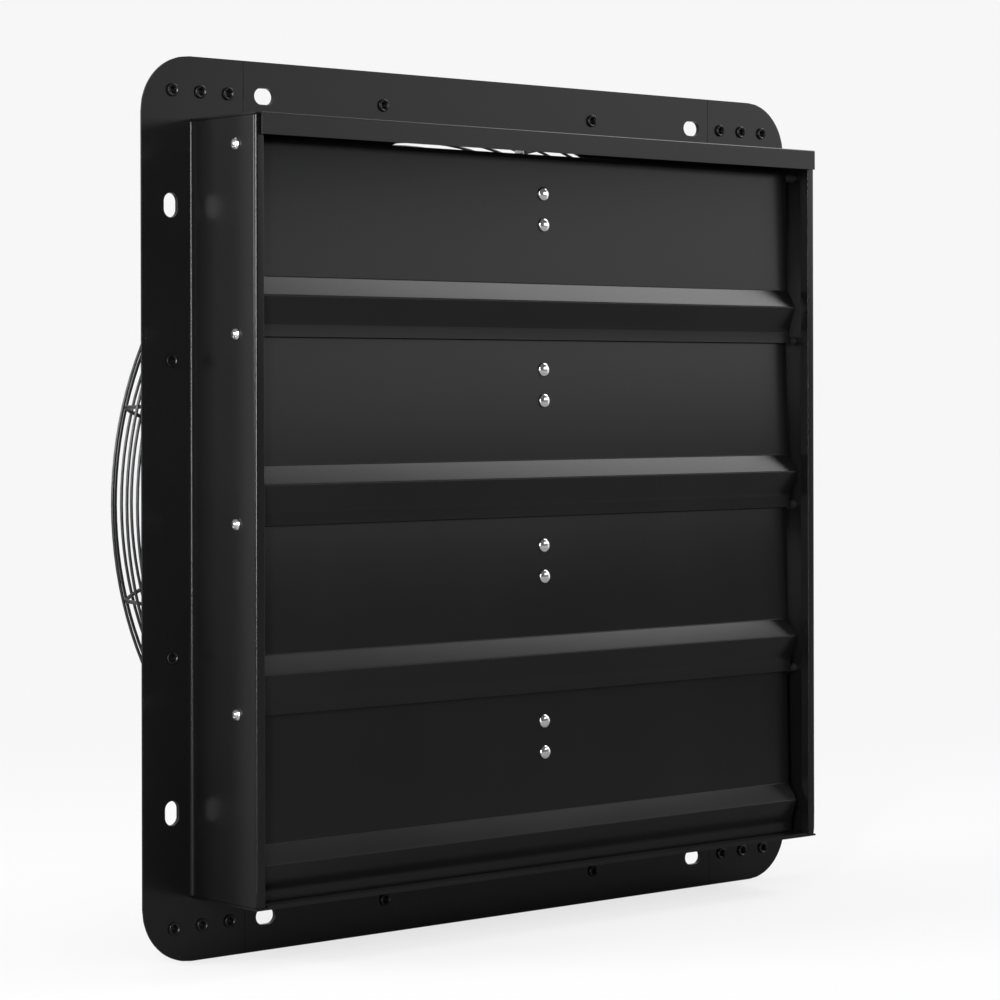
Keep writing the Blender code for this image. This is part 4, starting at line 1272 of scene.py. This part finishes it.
@dataclass
class Impeller(Assembly):
    """Hub, swept blades and the rotor that they turn with."""

    blades: int = 5
    hub_radius: float = 0.0569
    hub_front: float = 0.01735
    hub_back: float = 0.07935
    hub_wall: float = 0.0025
    hub_hole: float = 0.022
    hub_corner: float = 0.0075
    hub_gap: float = 0.0001
    hole_edge: Pair = (0.002, 0.0012)
    rim_edge: Pair = (0.0006, 0.001)
    hub_steps: int = 72
    radius: float = 0.204
    gap: float = 0.0003
    middle_y: float = 0.050
    root_chord: float = 0.092
    tip_chord: float = 0.150
    root_pitch: float = radians(38)
    tip_pitch: float = radians(23)
    sweep: float = radians(16)
    camber: float = 0.008
    tip_rounding: float = 0.016
    thickness: float = 0.0018
    grid: tuple[int, int] = (14, 18)
    blade_edge: float = 0.0004
    can_edge: float = 0.0006
    coarse_chord_steps: int = 5

    def blade_place(self, span: float, chord: float) -> Vector:
        """Point of a blade's middle surface.

        Args:
            span: From the root at 0 to the tip at 1.
            chord: From the front edge at -1 to the back edge at 1.

        Returns:
            The point.
        """
        half_step = self.root_chord * cos(self.root_pitch) / (2 * self.coarse_chord_steps * self.hub_radius)
        root = (self.hub_radius + self.gap) / cos(half_step)
        radius = root + (self.radius - root) * span - self.tip_rounding * span ** 4 * chord ** 4
        length = self.root_chord + (self.tip_chord - self.root_chord) * span
        pitch = self.root_pitch + (self.tip_pitch - self.root_pitch) * span
        bulge = self.camber * (1 - chord ** 2)
        across = chord * length / 2 * cos(pitch) - bulge * sin(pitch)
        y = self.middle_y + chord * length / 2 * sin(pitch) + bulge * cos(pitch)
        turn = self.sweep * span ** 2 + across / radius
        return Vector((radius * cos(turn), y, radius * sin(turn)))

    def blade(self) -> Piece:
        """One blade: a flat grid bent to its shape, with its wall and round edges.

        Returns:
            The blade, to be copied.
        """
        Bench.rest()
        bpy.ops.mesh.primitive_grid_add(x_subdivisions=self.grid[0], y_subdivisions=self.grid[1], size=1)
        piece = bpy.context.object
        piece.name = "fan_blade_pattern"
        for point in piece.data.vertices:
            point.co = self.blade_place(point.co.x + 0.5, 2 * point.co.y)
        Bench.modify(piece, "SOLIDIFY", thickness=self.thickness, offset=0, use_even_offset=True)
        Bench.soften(piece, self.blade_edge, angle=60)
        return piece

    def hub(self) -> Piece:
        """Pressed hub with a rounded nose.

        Returns:
            The shaded hub.
        """
        front, back, hole, corner = self.hub_front, self.hub_back, self.hub_hole, self.hub_corner
        outer, floor = self.hub_radius, self.hub_front + self.hub_wall
        inner = outer - self.hub_wall + self.hub_gap
        profile = [
            (hole, front + self.hole_edge[1]), (hole + self.hole_edge[0], front),
            *Bench.arc((outer - corner, front + corner), corner, -QUARTER, QUARTER, 6),
            (outer, back - self.rim_edge[1]), (outer - self.rim_edge[0], back), (inner, back),
            (inner, front + corner), (outer - corner, floor), (hole, floor),
        ]
        return Bench.turned("impeller_hub_pressed", profile, self.hub_steps, ring=True, smooth=30)

    def build(self) -> None:
        """Build and dress the impeller."""
        pattern = self.blade()
        for number in range(1, self.blades + 1):
            turn = Matrix.Rotation(2 * pi * (number - 1) / self.blades, 4, "Y")
            blade = Bench.copy_piece(pattern, f"fan_blade_{number}_sheet", turn)
            self.dresser.dress(blade, FAN_COAT, f"fan_blade_{number}", body="impeller")
        bpy.data.objects.remove(pattern, do_unlink=True)
        self.dresser.dress(self.hub(), FAN_COAT, "impeller_hub", body="impeller")
        self.dresser.dress_copy("rotor_can", "rotor_can_turned", CAST, self.can_edge, 3, "impeller")
        self.dresser.paint_node("motor_shaft", ZINC)


@dataclass
class MotorMount(Assembly):
    """Motor plate on the guard's eye, the motor's base and its still parts."""

    plate_radius: float = 0.080
    plate_front: float = 0.09945
    plate_back: float = 0.10195
    plate_edge: float = 0.0008
    bead_outer: Pair = (0.0725, 0.0715)
    bead_inner: Pair = (0.0580, 0.0565)
    bead_depth: float = 0.0007
    tube_radius: float = 0.0145
    bolt_circle: float = 0.066
    bolt_count: int = 4
    bolt_radius: float = 0.0045
    bolt_height: float = 0.0030
    bolt_crown: Pair = (0.0006, 0.0004)
    bolt_gap: float = 0.0002
    bolt_edge: float = 0.00015
    washer_radius: float = 0.0065
    washer_height: float = 0.0006
    base_edge: float = 0.0005

    def plate(self) -> Piece:
        """Pressed plate with a bead near its rim.

        Returns:
            The shaded plate.
        """
        front, back, rim, edge = self.plate_front, self.plate_back, self.plate_radius, self.plate_edge
        tube, floor = self.tube_radius, back - self.bead_depth
        profile = [
            (tube, front), (rim - edge, front), (rim, front + edge), (rim, back - edge), (rim - edge, back),
            (self.bead_outer[0], back), (self.bead_outer[1], floor), (self.bead_inner[0], floor),
            (self.bead_inner[1], back), (tube, back),
        ]
        return Bench.turned("motor_plate_pressed", profile, 96, ring=True, smooth=25)

    def bolt(self) -> Piece:
        """Hexagon bolt head on its washer, at the middle of the plate's back.

        Returns:
            The bolt, to be copied.
        """
        back, wide, high = self.plate_back, self.washer_radius, self.washer_height
        crown, rise = self.bolt_crown
        middle = (0, back + self.bolt_height / 2 + self.bolt_gap, 0)
        head = Bench.hexagon(self.bolt_radius, self.bolt_height, middle)
        Bench.pick(head, Kind.FACES, lambda centre, normal: normal.y > 0.9)
        bpy.ops.mesh.inset(thickness=crown, depth=0.0)
        bpy.ops.transform.translate(value=(0, rise, 0))
        profile = [
            (0, back - high), (wide, back - high), (wide, back + high / 2), (wide - high / 2, back + high),
            (0, back + high),
        ]
        piece = Bench.join([head, Bench.turned("washer_pattern", profile, 24)], "bolt_pattern")
        Bench.soften(piece, self.bolt_edge, angle=40)
        return piece

    def build(self) -> None:
        """Build and dress the plate with its bolts and the base."""
        self.dresser.dress(self.plate(), FRAME_COAT, "motor_plate")
        circle = self.bolt_circle
        turns = [pi / 4 + 2 * pi * number / self.bolt_count for number in range(self.bolt_count)]
        spots = [Matrix.Translation((circle * cos(turn), 0, circle * sin(turn))) for turn in turns]
        self.dresser.dress(Bench.repeat(self.bolt(), "motor_bolts", spots), ZINC)
        self.dresser.dress_copy("motor_base", "motor_base_cast", CAST, self.base_edge, 3)
        for node, finish in (("stator_core", WINDING), ("front_bearing", ZINC), ("rear_bearing", ZINC)):
            self.dresser.paint_node(node, finish)


@dataclass
class TerminalBox(Assembly):
    """Moulded wiring box behind the motor plate, with its lid and gland."""

    front: float = 0.10225
    back: float = 0.13625
    lid_height: float = 0.0075
    half: float = 0.032
    lid_half: float = 0.0335
    field_half: float = 0.0200
    corner: float = 0.006
    field_corner: float = 0.002
    groove: float = 0.0008
    neck_span: Pair = (0.001, 0.0016)
    lid_span: Pair = (0.0004, 0.0008)
    field_depth: float = 0.0014
    edge: float = 0.0005
    screw_place: float = 0.026
    well: tuple[float, ...] = (0.0032, 0.0034, 0.004, 0.001)
    screw_top: float = 0.0016
    screw_foot: float = 0.0042
    screw_head: tuple[Pair, ...] = ((0, 0), (0.0014, 0.0001), (0.0022, 0.0005), (0.0026, 0.0011))
    cross_slot: Place = (0.0030, 0.0016, 0.00055)
    screw_turn: float = 0.4
    gland_place: Place = (0, 0.11625, -0.032)
    bore: float = 0.0045
    bore_span: Pair = (-0.03, 0.01)
    hexagon: Pair = (0.012, 0.0055)
    hexagon_gap: float = 0.0003
    hexagon_edge: float = 0.0006
    nut_shape: tuple[Pair, ...] = (
        (0.0095, 0.0058), (0.0095, 0.0074), (0.0112, 0.0078), (0.0112, 0.0160), (0.0100, 0.0185),
        (0.0076, 0.0212), (0.0061, 0.0222), (0.0045, 0.0216),
    )
    nut_steps: int = 48
    rib_height: float = 0.0006
    rib_middle: float = 0.0119
    rib_half: float = 0.002
    rib_inner: float = 0.01

    def block(self, name: str, half: float, corner: float, low: float, high: float) -> Piece:
        """Square block with round corners between two depths."""
        places = [(x, low, z) for x, z in Bench.rounded(half, half, corner, 6)]
        return Bench.prism(name, places, (0, high - low, 0))

    def body(self) -> Piece:
        """Box and lid with a parting groove, four screw wells and a raised field.

        Returns:
            The shaded box.
        """
        front, back, corner, seam = self.front, self.back, self.corner, self.back - self.lid_height
        low, high = front + self.neck_span[0], seam + self.neck_span[1]
        box = self.block("box_body", self.half, corner, front, seam)
        neck = self.block("box_neck", self.half - self.groove, corner, low, high)
        lid = self.block("box_lid", self.lid_half, corner, seam + self.lid_span[0], back - self.lid_span[1])
        raised = self.block("box_field", self.field_half, self.field_corner, back - self.field_depth, back)
        narrow, wide, depth, over = self.well
        profile = [(0, back - depth), (narrow, back - depth), (wide, back + over), (0, back + over)]
        for side, rise in ((1, 1), (1, -1), (-1, 1), (-1, -1)):
            centre = (side * self.screw_place, 0, rise * self.screw_place)
            Bench.cut(lid, Bench.turned("well", profile, 24, centre))
        for part in (box, neck, lid, raised):
            Bench.soften(part, self.edge, angle=40, segments=3)
        return Bench.join([box, neck, lid, raised], "terminal_box_moulded")

    def lid_screws(self) -> Piece:
        """Four pan-head screws with cross slots in the lid's wells.

        Returns:
            The shaded screws.
        """
        top, foot = self.back - self.screw_top, self.back - self.screw_foot
        profile = [(radius, top - drop) for radius, drop in self.screw_head]
        pattern = Bench.turned("lid_screw_pattern", [*profile, (profile[-1][0], foot), (0, foot)], 24)
        for size in (self.cross_slot, self.cross_slot[::-1]):
            Bench.rest()
            bpy.ops.mesh.primitive_cube_add(size=1, location=(0, top, 0), scale=size)
            Bench.cut(pattern, bpy.context.object)
        Bench.smooth(pattern, 30)
        spots = []
        for number, (side, rise) in enumerate(CORNERS):
            place = Matrix.Translation((side * self.screw_place, 0, rise * self.screw_place))
            spots.append(place @ Matrix.Rotation(self.screw_turn * number, 4, "Y"))
        return Bench.repeat(pattern, "box_lid_screws", spots)

    def is_rib(self, centre: Vector, normal: Vector) -> bool:
        """Whether a face is a rib: every third face of the cap nut's straight side.

        Args:
            centre: The face's centre.
            normal: Its normal.

        Returns:
            Whether it is one.
        """
        x, y, z = centre - Vector(self.gland_place)
        straight = abs(normal.z) < 0.1 and abs(z + self.rib_middle) < self.rib_half
        step = int((atan2(y, x) + pi) / (2 * pi) * self.nut_steps + 0.01) % self.nut_steps
        return straight and x * x + y * y > self.rib_inner ** 2 and step % 3 == 0

    def gland(self) -> Piece:
        """Gland: hexagon body, ribbed cap nut and an open bore.

        Returns:
            The shaded gland.
        """
        radius, height = self.hexagon
        x, y, z = self.gland_place
        hexagon = Bench.hexagon(radius, height, (x, y, z - self.hexagon_gap - height / 2), 0)
        hexagon.name = "gland_hexagon"
        low, high = self.bore_span
        hole = [(0, low), (self.bore, low), (self.bore, high), (0, high)]
        Bench.cut(hexagon, Bench.turned("bore", hole, 32, self.gland_place, (0, 0, 1)))
        Bench.soften(hexagon, self.hexagon_edge, angle=40, segments=3)
        profile = [(self.bore, -self.nut_shape[0][1]), *((across, -drop) for across, drop in self.nut_shape)]
        nut = Bench.turned("gland_nut", profile, self.nut_steps, self.gland_place, (0, 0, 1), ring=True)
        Bench.pick(nut, Kind.FACES, self.is_rib)
        bpy.ops.mesh.extrude_faces_move(TRANSFORM_OT_shrink_fatten={"value": self.rib_height})
        Bench.smooth(nut, 25)
        return Bench.join([hexagon, nut], "cable_gland_moulded")

    def build(self) -> None:
        """Build and dress the box, its screws and the gland."""
        self.dresser.dress(self.body(), PLASTIC, "terminal_box")
        self.dresser.dress(self.lid_screws(), ZINC)
        self.dresser.dress(self.gland(), PLASTIC, "cable_gland")


@dataclass
class Lamp:
    """One soft rectangular lamp that points at the origin."""

    name: str
    place: Place
    size: Pair
    power: float

    def light(self) -> None:
        """Hang the lamp and point it."""
        data = bpy.data.lights.new(self.name, "AREA")
        data.shape = "RECTANGLE"
        data.size, data.size_y = self.size
        data.energy = self.power
        lamp = Bench.link(self.name, data)
        lamp.location = self.place
        lamp.rotation_euler = (-Vector(self.place)).to_track_quat("-Z", "Y").to_euler()


@dataclass
class Studio:
    """Floor, background, lamps and camera."""

    floor_z: float = -0.2602
    floor_size: float = 14.0
    floor_tones: Place = (0.26, 0.30, 0.90)
    camera_place: Place = (-1.2448, -1.4632, 0.0663)
    camera_aim: Place = (0.6502, 0.7597, 0.0)
    camera_roll: float = radians(-0.12)
    lens: float = 111.1
    shift_y: float = -0.1074
    sky: float = 0.60
    dark_studio: float = 0.12
    background: float = 0.93
    backdrop_edge: Pair = (0.0, 0.30)
    floor_shine: float = 0.20
    shine_edge: Pair = (0.9, 1.8)
    behind_edge: Pair = (0.25, 0.7)
    shadow_edge: Pair = (0.35, 1.3)
    shadow_share: float = 0.22
    lamps: list[Lamp] = field(default_factory=lambda: [
        Lamp("upper_right_softbox", (1.43, -0.304, 1.364), (1.25, 0.88), 18.5),
        Lamp("front_right_strip", (1.450, -1.310, 0.416), (1.60, 0.42), 3.4),
        Lamp("front_left_softbox", (-1.65, -0.95, 0.35), (0.7, 0.9), 3),
        Lamp("tall_left_strip", (-1.60, -1.35, 0.47), (0.20, 1.44), 38),
        Lamp("back_left_softbox", (-1.95, 0.70, 0.60), (0.8, 1.0), 40),
    ])

    @staticmethod
    def grey(tone: float) -> tuple[float, float, float, float]:
        """A plain grey."""
        return (tone, tone, tone, 1)

    def looks(self, wiring: Wiring, coordinates: str) -> tuple[Socket, Socket, Socket, Socket]:
        """Place what floor and world both ask of a ray.

        Args:
            wiring: The tree.
            coordinates: The output of Texture Coordinate that gives the place or direction.

        Returns:
            The place or direction, how far it lies along the camera's aim, whether the ray is looked
            at straight or through glass, and whether it is a reflection.
        """
        place = wiring.add("ShaderNodeTexCoord").outputs[coordinates]
        ahead = wiring.vector("DOT_PRODUCT", place, self.camera_aim).outputs["Value"]
        path = wiring.add("ShaderNodeLightPath").outputs
        seen = wiring.math("MAXIMUM", path["Is Camera Ray"], path["Is Transmission Ray"])
        return place, ahead, seen, path["Is Glossy Ray"]

    def floor(self) -> None:
        """Pale floor that keeps the fan's shadow."""
        Bench.rest()
        bpy.ops.mesh.primitive_plane_add(size=self.floor_size, location=(0, 0, self.floor_z))
        piece = bpy.context.object
        piece.name = "studio_floor"
        Bench.settle(piece)
        material = bpy.data.materials.new("pale_floor")
        material.use_nodes = True
        material.node_tree.nodes.clear()
        wiring = Wiring(material.node_tree)
        place, ahead, seen, glossy = self.looks(wiring, "Object")
        low, high, pale = (self.grey(tone) for tone in self.floor_tones)
        straight = wiring.add("ShaderNodeLightPath").outputs["Is Camera Ray"]
        colour = wiring.blend(straight, wiring.blend(wiring.noise(place, 2.0, 2.0), low, high), pale)
        matt = wiring.add("ShaderNodeBsdfDiffuse", {"Color": colour}).outputs[0]
        backdrop = {"Color": self.grey(self.background), "Strength": 1.0}
        plain = wiring.add("ShaderNodeEmission", backdrop).outputs[0]
        distance = wiring.vector("LENGTH", place, (0, 0, 0)).outputs["Value"]
        clear = wiring.span(distance, *self.shadow_edge, 1 - self.shadow_share, 1.0)
        far = wiring.span(distance, *self.shine_edge, 0.0, self.floor_shine)
        shine = wiring.math("MAXIMUM", far, wiring.span(ahead, *self.behind_edge, 0.0, 1.0))
        bare, mirrored = wiring.math("MULTIPLY", seen, clear), wiring.math("MULTIPLY", glossy, shine)
        share = wiring.math("MAXIMUM", bare, mirrored)
        wiring.close("ShaderNodeOutputMaterial", share, matt, plain)
        piece.data.materials.append(material)

    def world(self) -> None:
        """Even studio light, with the pale background where it is looked at."""
        world = bpy.context.scene.world or bpy.data.worlds.new("studio")
        bpy.context.scene.world = world
        world.use_nodes = True
        world.node_tree.nodes.clear()
        wiring = Wiring(world.node_tree)
        _, ahead, seen, glossy = self.looks(wiring, "Generated")
        behind_fan = wiring.span(ahead, *self.backdrop_edge, 0.0, 1.0)
        share = wiring.math("MAXIMUM", seen, wiring.math("MULTIPLY", glossy, behind_fan))
        level = wiring.span(glossy, 0.0, 1.0, self.sky, self.dark_studio)
        even, pale = (
            wiring.add("ShaderNodeBackground", {"Color": self.grey(tone), "Strength": strength}).outputs[0]
            for tone, strength in ((1, level), (self.background, 1.0))
        )
        wiring.close("ShaderNodeOutputWorld", share, even, pale)

    def camera(self) -> None:
        """Camera at the photograph's angle."""
        data = bpy.data.cameras.new("photo_camera")
        data.lens = self.lens
        data.sensor_width = 36.0
        data.shift_y = self.shift_y
        data.dof.use_dof = False
        camera = Bench.link("photo_camera", data)
        camera.location = self.camera_place
        level = Vector(self.camera_aim).to_track_quat("-Z", "Y").to_matrix()
        camera.rotation_euler = (level @ Matrix.Rotation(self.camera_roll, 3, "Z")).to_euler()
        bpy.context.scene.camera = camera

    def build(self) -> None:
        """Set the studio up."""
        bpy.context.scene.view_settings.view_transform = "Standard"
        self.floor()
        self.world()
        for lamp in self.lamps:
            lamp.light()
        self.camera()


def main() -> None:
    """Dress the fan and set up the studio."""
    logging.basicConfig(level=logging.INFO, format="%(message)s")
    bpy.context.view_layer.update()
    dresser = Dresser()
    for assembly in (SheetBox, FlangeScrews, LouverBank, WireGuard, Impeller, MotorMount, TerminalBox):
        assembly(dresser).build()
    Studio().build()
    Bench.rest()
    log.info("%d pieces dressed", dresser.count)


if __name__ == "__main__":
    main()
